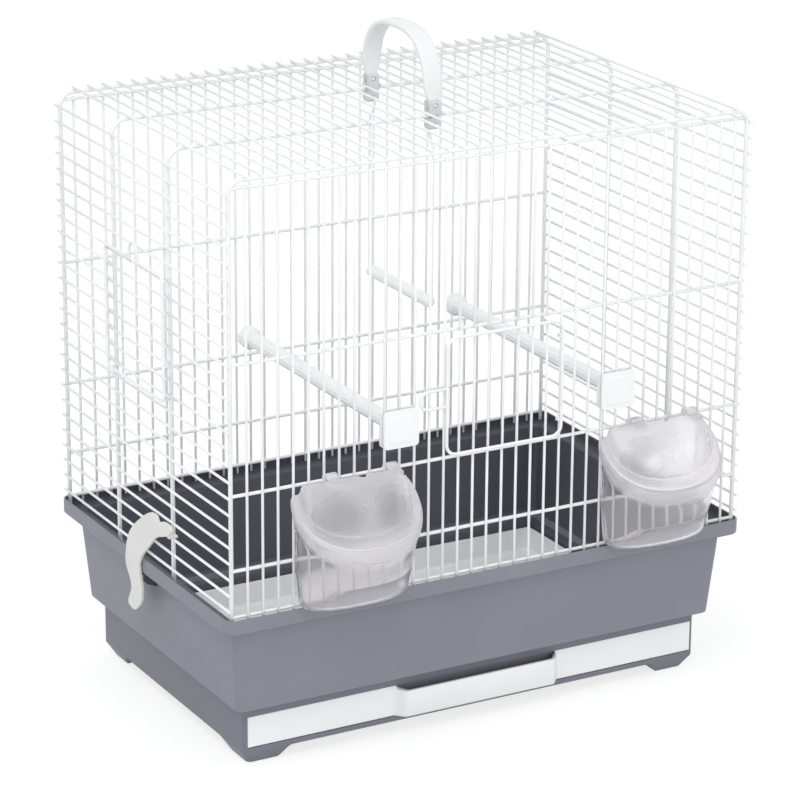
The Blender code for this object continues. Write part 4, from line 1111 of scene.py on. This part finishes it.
def feeder_cup(wires, sizes, centre):
    """Clear cup: rounded bottom, nearly upright wall and a flared lip that falls to the front."""
    half, reach, band = sizes.half_width, sizes.reach, sizes.lip_band
    back = wires.under_door - sizes.lip_drop
    front = back - sizes.lip_fall
    bottom = back - sizes.height
    # Half width, reach and heights at the back and front, from the bottom up
    body = rounded_corners([
        (half * 0.52, reach * 0.28, bottom, bottom),
        (half * 0.86, reach * 0.54, bottom + 0.0004, bottom + 0.0004),
        (half * 0.925, reach * 0.72, bottom + 0.030, bottom + 0.022),
        (half * 0.942, reach * 0.925, back - band - 0.003, front - band - 0.003),
        (half * 0.960, reach * 0.955, back - band, front - band),
        (half, reach, back - band * 0.5, front - band * 0.5),
        (half, reach, back - 0.0012, front - 0.0012),
        (half * LIP_SHARE, reach * LIP_SHARE, back, front)], 0.012, 5)
    outer = half_oval(centre, body)
    inner_rows = body.copy()
    inner_rows[:, 2:] += np.where(np.arange(len(body)) < CUP_FLOOR_ROWS, sizes.wall, 0)[:, None]
    inner = half_oval(centre, inner_rows, sizes.wall)
    sill = wires.under_door - wires.feeder_opening + MOUTH_SILL
    mouth = box((centre - half * MOUTH_SHARE, -RIM_Y - MOUTH_DEPTH, sill),
                (centre + half * MOUTH_SHARE, -RIM_Y + MOUTH_DEPTH, back + MOUTH_HEAD))

    def haze(points):
        depth = -points[:, 1] - RIM_Y
        edge = back + (front - back) * depth / reach - band
        return np.clip((points[:, 2] - edge + HAZE_DROP) / HAZE_RISE, 0, 1) * LIP_HAZE + CUP_HAZE

    return skin(np.concatenate([outer, inner[::-1]])), mouth, haze


def feeder_hood(wires, sizes, middle):
    """Helmet-shaped hood on a flat edge that lies on the cup's lip: rings that stay wide while their
    front draws back, with a shallow window pressed in on each side of the middle, and two hooks."""
    centre = middle + sizes.shift
    wire = wires.under_door
    fall = sizes.lip_fall / sizes.reach
    drop = -sizes.lip_drop + FIT
    wall = sizes.wall
    half, reach = sizes.half_width * LIP_SHARE - FIT, sizes.reach * LIP_SHARE - FIT
    foot, deep = half - sizes.flange, reach - sizes.flange - 0.002
    low = drop + wall
    # Half width, reach and heights at the back and front over the wire, from the lip up
    rows = rounded_corners([
        (half, reach, drop, drop - fall * reach),
        (half, reach, low, low - fall * reach),
        (foot, deep, low, low - fall * deep),
        (foot - 0.0006, deep - 0.0012, low + 0.0014, low - fall * deep + 0.009),
        (foot - 0.0010, deep - 0.0030, -0.0040, -0.0150),
        (foot - 0.0014, deep - 0.0060, -0.0028, -0.0100),
        (foot - 0.0018, deep * 0.62, -0.0014, -0.0052),
        (foot - 0.0024, deep * 0.34, 0.0, -0.0008),
        (foot - 0.0040, deep * 0.22, 0.0006, 0.0006),
        (foot - 0.0046, 0.0008, 0.0010, 0.0010)], 0.0022, 4)
    rows[:, 2:] += wire
    outer = half_oval(centre, rows, steps=HOOD_STEPS)
    inner_rows = rows[rows[:, 0] < foot + 0.0002]
    inner_rows = inner_rows - (wall, wall, wall * 0.7, wall * 0.7)
    inner_rows[:, 1] = np.maximum(inner_rows[:, 1], 0.0003)
    inner = half_oval(centre, inner_rows, steps=HOOD_STEPS)
    below = inner_rows[:1] - (0, 0, wall * 0.3, wall * 0.3)
    inner = np.concatenate([inner[::-1], half_oval(centre, below, steps=HOOD_STEPS)])

    def window(points):
        """Square of 1 - ((|s| - p) / a)^2 - ((z - q) / b)^2 where that is over 0, fading at the back."""
        side = (points[:, 0] - centre) / foot
        ahead = np.clip((-points[:, 1] - RIM_Y) / deep * 4 - 1, 0, 1)
        across = ((np.abs(side) - WINDOW_PLACE) / WINDOW_HALF_WIDTH) ** 2
        upward = ((points[:, 2] - wire + WINDOW_DROP) / WINDOW_HALF_HEIGHT) ** 2
        share = np.clip(1 - (across + upward), 0, 1) * ahead
        return share * share

    shell = np.concatenate([outer, inner])
    flat = shell.reshape(-1, 3)
    flat[:, 1] += sizes.scoop * window(flat)
    flat[:, 2] -= 0.5 * sizes.scoop * window(flat)
    at = wire_layout(wires)
    y, z = -at["cross_out"], wire
    grip = wires.cross + FIT + HAIR
    hooks = []
    for way in (-1, 1):
        x = middle + way * 2 * wires.pitch - HOOK_WIDTH / 2
        outline = np.concatenate([
            arc((x, y, z), Y_AXIS, Z_AXIS, grip + HOOK_THICKNESS, -20, 150, 14),
            [(x, -RIM_Y - FIT - 0.0062, z + 0.0006), (x, -RIM_Y - FIT - 0.0066, z - 0.0036),
             (x, y - grip - 0.0003, z - 0.0036)],
            arc((x, y, z), Y_AXIS, Z_AXIS, grip, 180, -20, 14)])
        hooks.append(prism(outline, (HOOK_WIDTH, 0, 0)))

    def haze(points):
        return 1 - WINDOW_CLEARER * window(points)

    angle = turns(20)
    outline = row_points(middle + NOTCH_PLACE[0] + NOTCH_HALF[0] * np.cos(angle),
                         -RIM_Y + NOTCH_PLACE[1] + NOTCH_HALF[1] * np.sin(angle), wire - NOTCH_HEIGHT / 2)
    notch = prism(outline, (0, 0, NOTCH_HEIGHT))
    return skin(shell, close_rows=True, close_columns=False), merge(*hooks), notch, haze


# Perches and swing

PEG_RADIUS = 0.0024
PEG_PLACE = 0.6
PLATE_SINK = 0.001
PLATE_LOW = 0.8
PLATE_RAISED = 0.72
COLLAR_SHARE = 1.25
COLLAR_RISE = 0.0018

# End block: distances from its end as shares of its length, with the shares of its radius
BLOCK_PLACES = np.array((1, 0.8, 0.15, 0))
BLOCK_SHARES = np.array((0.8, 1, 1, 0.8))

# Swing bar: distances from its ends with the shares of its radius, and its grooves
SWING_ENDS = ((0, 0.55), (0.0004, 0.8), (0.0012, 0.95), (0.0025, 1))
SWING_GROOVES = 10
SWING_GROOVE_DEPTH = 0.00025

# Swing hanger: ends of its neck and shoulder under the eye, its two stubs and its bends
HANGER_NECK = 0.007
HANGER_SHOULDER = 0.016
HANGER_STUB = 0.0015
HANGER_GRIP = 0.0075
HANGER_BEND = 0.0011


def grooved_rod(start, end, radius, ends, grooves=12, depth=0.0003):
    """Rod along y with shallow grooves: r(a) = R - d (1 + cos(n a)) / 2; ends gives each end
    station's distance from the end and its share of the radius."""
    offsets, shares = np.array(ends).T
    y = np.concatenate([start + offsets, end - offsets[::-1]])
    share = np.concatenate([shares, shares[::-1]])
    angle = turns(grooves * 6)
    section = radius - depth * (1 + np.cos(grooves * angle)) / 2
    x = share[:, None] * section[None] * np.cos(angle)[None]
    z = share[:, None] * section[None] * np.sin(angle)[None]
    return grid_of(x, y[:, None], z)


def square_plate(x, z, half, start, end, corner=0.003):
    """Square plate with round corners, between two values of y."""
    ring = rounded_rectangles([(half, half, 0, corner)], 6)[0]
    return prism(row_points(ring[:, 0] + x, start, ring[:, 1] + z), (0, end - start, 0))


def round_boss(x, z, radius, start, end, sides=20):
    """Low round boss along y."""
    angle = turns(sides)
    outline = row_points(x + radius * np.cos(angle), start, z + radius * np.sin(angle))
    return prism(outline, (0, end - start, 0))


def perch(wires, sizes, index):
    """Perch: square flange, grooved rod and an eight-sided end block."""
    at = wire_layout(wires)
    x, z = float(wire_x(wires, index)), wires.under_door + sizes.perch_rise
    front = -at["face_out"] + wires.wire + FIT
    end = front + sizes.perch_length
    rod = grooved_rod(front + sizes.plate_thick / 2, end - sizes.block_length / 2, sizes.perch, [(0, 1)])
    angle = np.radians(22.5 + 45 * np.arange(8))
    length = sizes.block_length
    y = end - length * BLOCK_PLACES
    radius = sizes.block * BLOCK_SHARES
    block = grid_of(x + radius[:, None] * np.cos(angle), y[:, None], z + radius[:, None] * np.sin(angle))
    flange = square_plate(x, z, sizes.plate / 2, front, front + sizes.plate_thick)
    collar = round_boss(x, z, sizes.perch * COLLAR_SHARE, front + PLATE_SINK,
                        front + sizes.plate_thick + COLLAR_RISE, 32)
    return merge(flange, collar, skin(rod + (x, 0, z)), skin(block))


def perch_holder(wires, sizes, index):
    """Outside plate of a perch with a raised middle and two pegs through the wires."""
    at = wire_layout(wires)
    x, z = float(wire_x(wires, index)), wires.under_door + sizes.perch_rise
    outside = -at["face_out"] - wires.wire - FIT
    half = sizes.plate / 2
    parts = [square_plate(x, z, half, outside, outside - sizes.plate_thick * PLATE_LOW),
             square_plate(x, z, half * PLATE_RAISED, outside - PLATE_SINK,
                          outside - sizes.plate_thick, 0.002)]
    for way in (-1, 1):
        peg = (x + way * wires.pitch / 2, z + way * half * PEG_PLACE)
        parts.append(round_boss(*peg, PEG_RADIUS, outside - 0.0015, -at["face_out"] + wires.wire + 0.002))
    return merge(*parts)


def swing_bar(wires, sizes):
    """Swing's bar with rounded ends."""
    length = sizes.swing_length / 2
    z = wires.top - sizes.eye_drop - sizes.swing_drop
    bar = grooved_rod(-length, length, sizes.swing, SWING_ENDS, SWING_GROOVES, SWING_GROOVE_DEPTH)
    return skin(bar + (0, 0, z))


def swing_hanger(wires, sizes, side):
    """Bent wire from the clip's eye down and into the end of the bar."""
    at = wire_layout(wires)
    eye = wires.top - sizes.eye_drop
    z = eye - sizes.swing_drop
    face, wire, end = sizes.clip_depth / 2, wires.wire, sizes.swing_length / 2
    beside = at["middle_hoop"] - face - FIT - wire
    outside = end + FIT + wire
    path = [(0, side * (at["middle_hoop"] + face + HANGER_STUB), eye), (0, side * beside, eye),
            (0, side * beside, eye - HANGER_NECK), (0, side * outside, eye - HANGER_SHOULDER),
            (0, side * outside, z), (0, side * (end - HANGER_GRIP), z)]
    return bent_wire(rounded_corners(path, HANGER_BEND, 6), wire, X_AXIS, 12)


# Handle and clips

HANDLE_PIN = 0.0015
HANDLE_PIN_GAP = 0.0002
HANDLE_FOOT = 0.003
HANDLE_SHOULDER = 0.66
HANDLE_SWELL = 0.36


def handle_shell(wires, sizes):
    """Arched strap: y = -h |cos t|^0.75, with the sign of the cosine, and z = s + r sin^0.8 t, with a
    section that is a superellipse |u|^4 + |v|^4 = 1 and grows from the pins to the top."""
    at = wire_layout(wires)
    pivot = wires.top + sizes.pivot_rise
    span = at["middle_hoop"]
    shoulder = pivot + sizes.pivot_rise * HANDLE_SHOULDER
    thick = sizes.handle_thick / 2
    rise = sizes.handle_top - thick - shoulder
    t = np.linspace(0, np.pi, 73)
    y = -span * signed_power(np.cos(t), 0.75)
    z = shoulder + rise * np.sin(t) ** 0.8
    legs = HANDLE_FOOT * np.array((-1, -0.8, -0.5, 0, 1)) + pivot
    y = np.concatenate([np.full(len(legs), -span), y, np.full(len(legs), span)])
    z = np.concatenate([legs, z, legs[::-1]])
    along = unit(np.gradient(np.stack([y, z], -1), axis=0))
    half = np.minimum(sizes.handle_width / 2, HANDLE_FOOT + HANDLE_SWELL * np.maximum(z - pivot, 0))
    half[[0, -1]] = HANDLE_FOOT * 0.6
    angle = turns(28)
    u, v = signed_power(np.cos(angle), 0.5), signed_power(np.sin(angle), 0.5)
    x = half[:, None] * u[None]
    grid = np.stack([x, y[:, None] - thick * v[None] * along[:, 1:2],
                     z[:, None] + thick * v[None] * along[:, 0:1]], -1)
    reach = sizes.clip_depth / 2 - HANDLE_PIN_GAP
    pins = []
    for side in (-1, 1):
        pins.append(straight_wires((0, side * span - reach, pivot), (0, side * span + reach, pivot),
                                   HANDLE_PIN, 16))
    return merge(skin(grid), *pins)


KNUCKLE_RADIUS = 0.0036
KNUCKLE_LENGTH = 0.010
EAR_THICKNESS = 0.002
SIDE_CLIP_THICKNESS = 0.002
SIDE_CLIP_PIN = 0.0010
SIDE_CLIP_PIN_STUB = 0.0018
SIDE_CLIP_GAP = 0.0005

# Hinge axis of a side clip: inside the rim's edge, from the middle, and under the lip
CLIP_AXIS = (0.0028, 0.002, 0.005)

# Arms of a side clip: places along the rim, width, thickness at tip and root, and gap to the wires
ARM_PLACES = (-0.051, -0.021)
ARM_WIDTH = 0.0044
ARM_TIP = 0.0018
ARM_ROOT = 0.0034
ARM_SHORT = 0.0015

# Outline of a side clip's plate, y and z from its hinge axis, and how much easing cuts off an edge
CORNER_CUT = 0.18
SIDE_CLIP_OUTLINE = (
    (0.0042, -0.0278), (0.0167, -0.0250), (0.0073, -0.0090), (0.0193, 0.0061), (0.0166, 0.0215),
    (0.0108, 0.0331), (-0.0002, 0.0434), (-0.0162, 0.0547), (-0.0262, 0.0600), (-0.0362, 0.0606),
    (-0.0386, 0.0560), (-0.0464, 0.0594), (-0.0572, 0.0600), (-0.0604, 0.0552), (-0.0518, 0.0496),
    (-0.0338, 0.0433), (-0.0224, 0.0320), (-0.0096, 0.0204), (-0.0047, 0.0115), (-0.0069, 0.0003),
    (-0.0095, -0.0047), (-0.0081, -0.0173),
)


def clip_axis(side):
    """A point on the hinge axis of a side clip."""
    inside, y, drop = CLIP_AXIS
    return np.array((side * (RIM_X - inside), y, RIM_TOP - BASE_LIP_HEIGHT - drop))


def eased_outline(points, rounds=3):
    """Closed outline whose corners are cut off a fixed share along each edge, again and again."""
    points = np.asarray(points, float)
    for _ in range(rounds):
        ahead = np.roll(points, -1, axis=0)
        near = (1 - CORNER_CUT) * points + CORNER_CUT * ahead
        far = CORNER_CUT * points + (1 - CORNER_CUT) * ahead
        points = np.stack([near, far], 1).reshape(-1, 2)
    return points


def side_clip(wires, side):
    """Rim clip: curved plate with two round lobes, two arms over a side wire, knuckle and pin."""
    at = wire_layout(wires)
    axis = clip_axis(side)
    near = side * (RIM_X + SIDE_CLIP_GAP)
    out = side * SIDE_CLIP_THICKNESS
    y, z = (eased_outline(SIDE_CLIP_OUTLINE) + axis[1:]).T
    parts = [prism(row_points(near, y, z), (out, 0, 0))]
    row = float(row_z(wires, 3)) + wires.wire + 2 * FIT
    end = side * (at["side_out"] - wires.wire - ARM_SHORT)
    for arm in ARM_PLACES:
        root = near + out * 0.5
        profile = np.array([(root, row), (end, row), (end, row + ARM_TIP), (root, row + ARM_ROOT)])
        parts.append(prism(row_points(profile[:, 0], arm - ARM_WIDTH / 2, profile[:, 1]), (0, ARM_WIDTH, 0)))
    parts.append(round_boss(axis[0], axis[2], KNUCKLE_RADIUS, axis[1] - KNUCKLE_LENGTH / 2,
                            axis[1] + KNUCKLE_LENGTH / 2, 28))
    reach = KNUCKLE_LENGTH / 2 + SIDE_CLIP_PIN_STUB
    parts.append(straight_wires(axis - reach * Y_AXIS, axis + reach * Y_AXIS, SIDE_CLIP_PIN, 12))
    return merge(*parts)


# Operators

class CageOperator:
    """What the operators share."""

    bl_options = {"REGISTER", "UNDO"}


class CAGE_OT_finishes(CageOperator, bpy.types.Operator):
    """Make the finishes of the cage from its colours"""

    bl_idname = "cage.finishes"
    bl_label = "Finishes"

    def execute(self, context):
        make_finishes(context.scene.cage_finish)
        return {"FINISHED"}


class CAGE_OT_base(CageOperator, bpy.types.Operator):
    """Build the moulded base with its ears"""

    bl_idname = "cage.base"
    bl_label = "Base"

    def execute(self, context):
        sizes = context.scene.cage_base
        _, _, skirt, _ = base_layout(sizes)
        cuts = (foot_arch(sizes, skirt[0], RIM_Y, True), foot_arch(sizes, skirt[1], RIM_X, False),
                drawer_slot(sizes))
        # The base is painted darker inside, in a shadow line under the rim and on the skirt
        put("base", tray_shell(sizes), "grey_moulding", "cage", ["tray_body"], smooth=BASE_SMOOTH, cuts=cuts,
            shade=base_shade(sizes))
        # The ears are painted in shade all over
        put("clip_ears", clip_ears(), "grey_moulding", "cage", edge=FINE_EDGE, shade=whole)
        return {"FINISHED"}


class CAGE_OT_drawer(CageOperator, bpy.types.Operator):
    """Build the drawer's pan and front"""

    bl_idname = "cage.drawer"
    bl_label = "Drawer"

    def execute(self, context):
        sizes = context.scene.cage_base
        put("drawer_tray", drawer_pan_shell(sizes), "white_moulding", "drawer", ["drawer_pan"])
        shell, recess, painted_shade = drawer_front_shell(sizes)
        # The face is painted in shade inside its finger recess
        put("drawer_face", shell, "white_moulding", "drawer", ["drawer_front"], edge=FACE_EDGE,
            cuts=(recess,), shade=painted_shade)
        return {"FINISHED"}


class CAGE_OT_wires(CageOperator, bpy.types.Operator):
    """Build the five wire panels and the middle hoops"""

    bl_idname = "cage.wires"
    bl_label = "Wire top"

    def execute(self, context):
        sizes, door = context.scene.cage_wires, context.scene.cage_doors
        at = wire_layout(sizes)
        openings = [(door.first + 1, door.last - 1, sizes.under_door, at["over_door"])]
        openings += [(first, first + FEEDER_SPAN, at["under_feeder"], sizes.under_door)
                     for first in FEEDER_FIRST_WIRES.values()]
        panels = {
            "front_panel": (face_panel(sizes, -1, openings), ["front_grille"]),
            "back_panel": (face_panel(sizes, 1, []), ["back_grille"]),
            "left_panel": (side_panel(sizes, -1, door), ["left_grille"]),
            "right_panel": (side_panel(sizes, 1, door), ["right_grille"]),
            "roof_panel": (roof_panel(sizes), ["roof_grille"]),
            "middle_hoops": (middle_hoops(sizes), []),
        }
        for name, (shell, nodes) in panels.items():
            put(name, shell, "white_coated_wire", "cage", nodes, smooth=WIRE_SMOOTH)
        return {"FINISHED"}


class CAGE_OT_doors(CageOperator, bpy.types.Operator):
    """Build the hinged front door and the lifting side door"""

    bl_idname = "cage.doors"
    bl_label = "Doors"

    def execute(self, context):
        sizes, door = context.scene.cage_wires, context.scene.cage_doors
        put("door_front", front_door(sizes, door), "white_coated_wire", "front_door", ["front_door"],
            smooth=WIRE_SMOOTH)
        put("door_side", side_door(sizes, door), "white_coated_wire", "side_door", ["side_door"],
            smooth=WIRE_SMOOTH)
        return {"FINISHED"}


class CAGE_OT_feeders(CageOperator, bpy.types.Operator):
    """Build the two clear feeders"""

    bl_idname = "cage.feeders"
    bl_label = "Feeders"

    def execute(self, context):
        wires, sizes = context.scene.cage_wires, context.scene.cage_feeders
        for tag, middle in feeder_places(wires).items():
            body = "feeder_" + tag
            cup, mouth, haze = feeder_cup(wires, sizes, middle + sizes.shift)
            put("cup_" + tag, cup, "clear_plastic", body, ["feeder_cup_" + tag], cuts=(mouth,), shade=haze)
            hood, hooks, notch, haze = feeder_hood(wires, sizes, middle)
            put("hood_" + tag, hood, "clear_plastic", body, ["feeder_hood_" + tag], cuts=(notch,), shade=haze)
            put("hooks_" + tag, hooks, "clear_plastic", body, edge=FINE_EDGE, shade=whole)
        return {"FINISHED"}


class CAGE_OT_perches(CageOperator, bpy.types.Operator):
    """Build the two perches and their outside plates"""

    bl_idname = "cage.perches"
    bl_label = "Perches"

    def execute(self, context):
        wires, sizes = context.scene.cage_wires, context.scene.cage_fittings
        for tag, index in PERCH_WIRES.items():
            put("rod_" + tag, perch(wires, sizes, index), "white_moulding", "cage", ["perch_" + tag],
                edge=FINE_EDGE)
            put("plate_" + tag, perch_holder(wires, sizes, index), "white_moulding", "cage",
                ["perch_holder_" + tag], edge=FINE_EDGE)
        return {"FINISHED"}


class CAGE_OT_swing(CageOperator, bpy.types.Operator):
    """Build the swing's bar and its two hangers"""

    bl_idname = "cage.swing"
    bl_label = "Swing"

    def execute(self, context):
        wires, sizes = context.scene.cage_wires, context.scene.cage_fittings
        put("swing_rod", swing_bar(wires, sizes), "white_moulding", "swing", ["swing_bar"])
        for tag, side in (("front", -1), ("back", 1)):
            put("hanger_" + tag, swing_hanger(wires, sizes, side), "white_coated_wire", "swing",
                ["swing_hanger_" + tag])
        return {"FINISHED"}


class CAGE_OT_handle(CageOperator, bpy.types.Operator):
    """Build the carrying handle"""

    bl_idname = "cage.handle"
    bl_label = "Handle"

    def execute(self, context):
        shell = handle_shell(context.scene.cage_wires, context.scene.cage_fittings)
        # The whole strap gets a little painted shade
        put("handle_strap", shell, "white_moulding", "handle", ["carry_handle"],
            shade=lambda points: SHADE_HANDLE * whole(points))
        return {"FINISHED"}


class CAGE_OT_handle_clips(CageOperator, bpy.types.Operator):
    """Give the frame's own handle clips their finish and rounded edges"""

    bl_idname = "cage.handle_clips"
    bl_label = "Handle clips"

    def execute(self, context):
        for tag in ("front", "back"):
            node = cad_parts["handle_clip_" + tag]
            node.data.materials.clear()
            node.data.materials.append(FINISHES["dark_moulding"])
            soften(node, HANDLE_CLIP_EDGE, weld=True)
        return {"FINISHED"}


class CAGE_OT_side_clips(CageOperator, bpy.types.Operator):
    """Build the two rim clips"""

    bl_idname = "cage.side_clips"
    bl_label = "Side clips"

    def execute(self, context):
        wires = context.scene.cage_wires
        for tag, side in (("left", -1), ("right", 1)):
            name = "side_clip_" + tag
            put("rim_clip_" + tag, side_clip(wires, side), "ivory_moulding", name, [name], edge=CLIP_EDGE)
        return {"FINISHED"}


class CAGE_OT_studio(CageOperator, bpy.types.Operator):
    """Build the pale floor, the soft light and the camera"""

    bl_idname = "cage.studio"
    bl_label = "Studio"

    def execute(self, context):
        studio = context.scene.cage_studio
        half = studio.floor / 2
        floor = put("floor", box((-half, -half, -0.02), (half, half, 0.0)), finish=floor_finish())
        light_studio(context.scene, studio)
        place_camera(context.scene, studio)
        context.scene.view_settings.view_transform = "Standard"
        return {"FINISHED"}


# Studio

FLOOR_WHITE = (0.82, 0.82, 0.82, 1)
SKY_COLOUR = (0.97, 0.98, 1.0, 1)
FLOOR_GLOW = 1.22
GLOW_SHARE = 0.62
KEY_PLACE = (-1.15, -1.0, 2.5)
FRONT_PLACE = (-0.2, -2.6, 0.7)
LAMP_SIZE = 1.4
AIM = (0, 0, 0.2)
SENSOR_WIDTH = 36
VIEW_END = 60


def seen_directly(tree):
    """1 for camera, glossy and transmission rays, else 0."""
    path = tree.nodes.new("ShaderNodeLightPath")
    total = path.outputs["Is Camera Ray"]
    for ray in ("Is Glossy Ray", "Is Transmission Ray"):
        both = tree.nodes.new("ShaderNodeMath")
        both.operation = "MAXIMUM"
        total = feed(tree, both, {0: total, 1: path.outputs[ray]}).outputs[0]
    return total


def floor_finish():
    """White floor: it shows as white where light reaches it, and keeps a soft shadow."""
    finish, tree, shader = new_finish("studio_floor")
    feed(tree, shader, {"Base Color": FLOOR_WHITE, "Roughness": 0.9, "Specular IOR Level": 0.0})
    white = feed(tree, tree.nodes.new("ShaderNodeEmission"), {"Strength": FLOOR_GLOW})
    share = tree.nodes.new("ShaderNodeMath")
    share.operation = "MULTIPLY"
    feed(tree, share, {0: seen_directly(tree), 1: GLOW_SHARE})
    lit = feed(tree, tree.nodes.new("ShaderNodeMixShader"), {
        "Fac": share.outputs[0], 1: shader.outputs["BSDF"], 2: white.outputs["Emission"]})
    tree.links.new(lit.outputs["Shader"], tree.nodes["Material Output"].inputs["Surface"])
    return finish


def light_studio(scene, studio):
    """Even white light from all round, and two large soft lamps."""
    world = bpy.data.worlds.new("studio_sky")
    world.use_nodes = True
    tree = world.node_tree
    sky = feed(tree, tree.nodes["Background"], {"Color": SKY_COLOUR, "Strength": studio.sky})
    seen = feed(tree, tree.nodes.new("ShaderNodeBackground"), {"Color": (1, 1, 1, 1)})
    mix = feed(tree, tree.nodes.new("ShaderNodeMixShader"), {
        "Fac": seen_directly(tree), 1: sky.outputs["Background"], 2: seen.outputs["Background"]})
    tree.links.new(mix.outputs["Shader"], tree.nodes["World Output"].inputs["Surface"])
    scene.world = world
    add_lamp(scene, "key", studio.key, KEY_PLACE)
    add_lamp(scene, "front", studio.fill, FRONT_PLACE)


def add_lamp(scene, name, power, place):
    """Round soft lamp that faces the middle of the cage."""
    lamp = bpy.data.lights.new(name, "AREA")
    lamp.energy = power
    lamp.shape = "DISK"
    lamp.size = LAMP_SIZE
    made = bpy.data.objects.new(name, lamp)
    made.location = place
    made.rotation_euler = (Vector(AIM) - made.location).to_track_quat("-Z", "Y").to_euler()
    scene.collection.objects.link(made)


def place_camera(scene, studio):
    """Camera at the photograph's angle."""
    data = bpy.data.cameras.new("camera")
    data.lens = studio.lens
    data.sensor_width = SENSOR_WIDTH
    data.clip_end = VIEW_END
    camera = bpy.data.objects.new("camera", data)
    look = (Matrix.Rotation(-studio.turn, 4, "Z") @ Matrix.Rotation(math.pi / 2 - studio.dip, 4, "X")
            @ Matrix.Rotation(studio.roll, 4, "Z"))
    camera.matrix_world = Matrix.Translation(studio.place) @ look
    scene.collection.objects.link(camera)
    scene.camera = camera


class CAGE_PT_panel(bpy.types.Panel):
    """Sidebar panel with the cage's settings and pieces"""

    bl_label = "Bird Cage"
    bl_idname = "CAGE_PT_panel"
    bl_space_type = "VIEW_3D"
    bl_region_type = "UI"
    bl_category = "Bird Cage"

    def draw(self, context):
        layout = self.layout
        for operator in OPERATORS:
            layout.operator(operator.bl_idname)
        for name in SETTINGS:
            column = layout.column(align=True)
            group = getattr(context.scene, name)
            for key in group.__annotations__:
                column.prop(group, key)


SETTINGS = {
    "cage_wires": CageWireSizes,
    "cage_doors": CageDoorSizes,
    "cage_base": CageBaseSizes,
    "cage_feeders": CageFeederSizes,
    "cage_fittings": CageFittingSizes,
    "cage_finish": CageFinish,
    "cage_studio": CageStudio,
}

OPERATORS = (
    CAGE_OT_finishes, CAGE_OT_base, CAGE_OT_drawer, CAGE_OT_wires, CAGE_OT_doors, CAGE_OT_feeders,
    CAGE_OT_perches, CAGE_OT_swing, CAGE_OT_handle, CAGE_OT_handle_clips, CAGE_OT_side_clips, CAGE_OT_studio,
)


def register():
    """Register the settings, the operators and the panel."""
    for name, group in SETTINGS.items():
        bpy.utils.register_class(group)
        setattr(bpy.types.Scene, name, bpy.props.PointerProperty(type=group))
    for operator in OPERATORS:
        bpy.utils.register_class(operator)
    bpy.utils.register_class(CAGE_PT_panel)


def unregister():
    """Take them away again."""
    bpy.utils.unregister_class(CAGE_PT_panel)
    for operator in reversed(OPERATORS):
        bpy.utils.unregister_class(operator)
    for name, group in reversed(SETTINGS.items()):
        delattr(bpy.types.Scene, name)
        bpy.utils.unregister_class(group)


def main():
    """Register the classes and build everything."""
    register()
    for operator in OPERATORS:
        group, _, action = operator.bl_idname.partition(".")
        getattr(getattr(bpy.ops, group), action)()


if __name__ == "__main__":
    main()
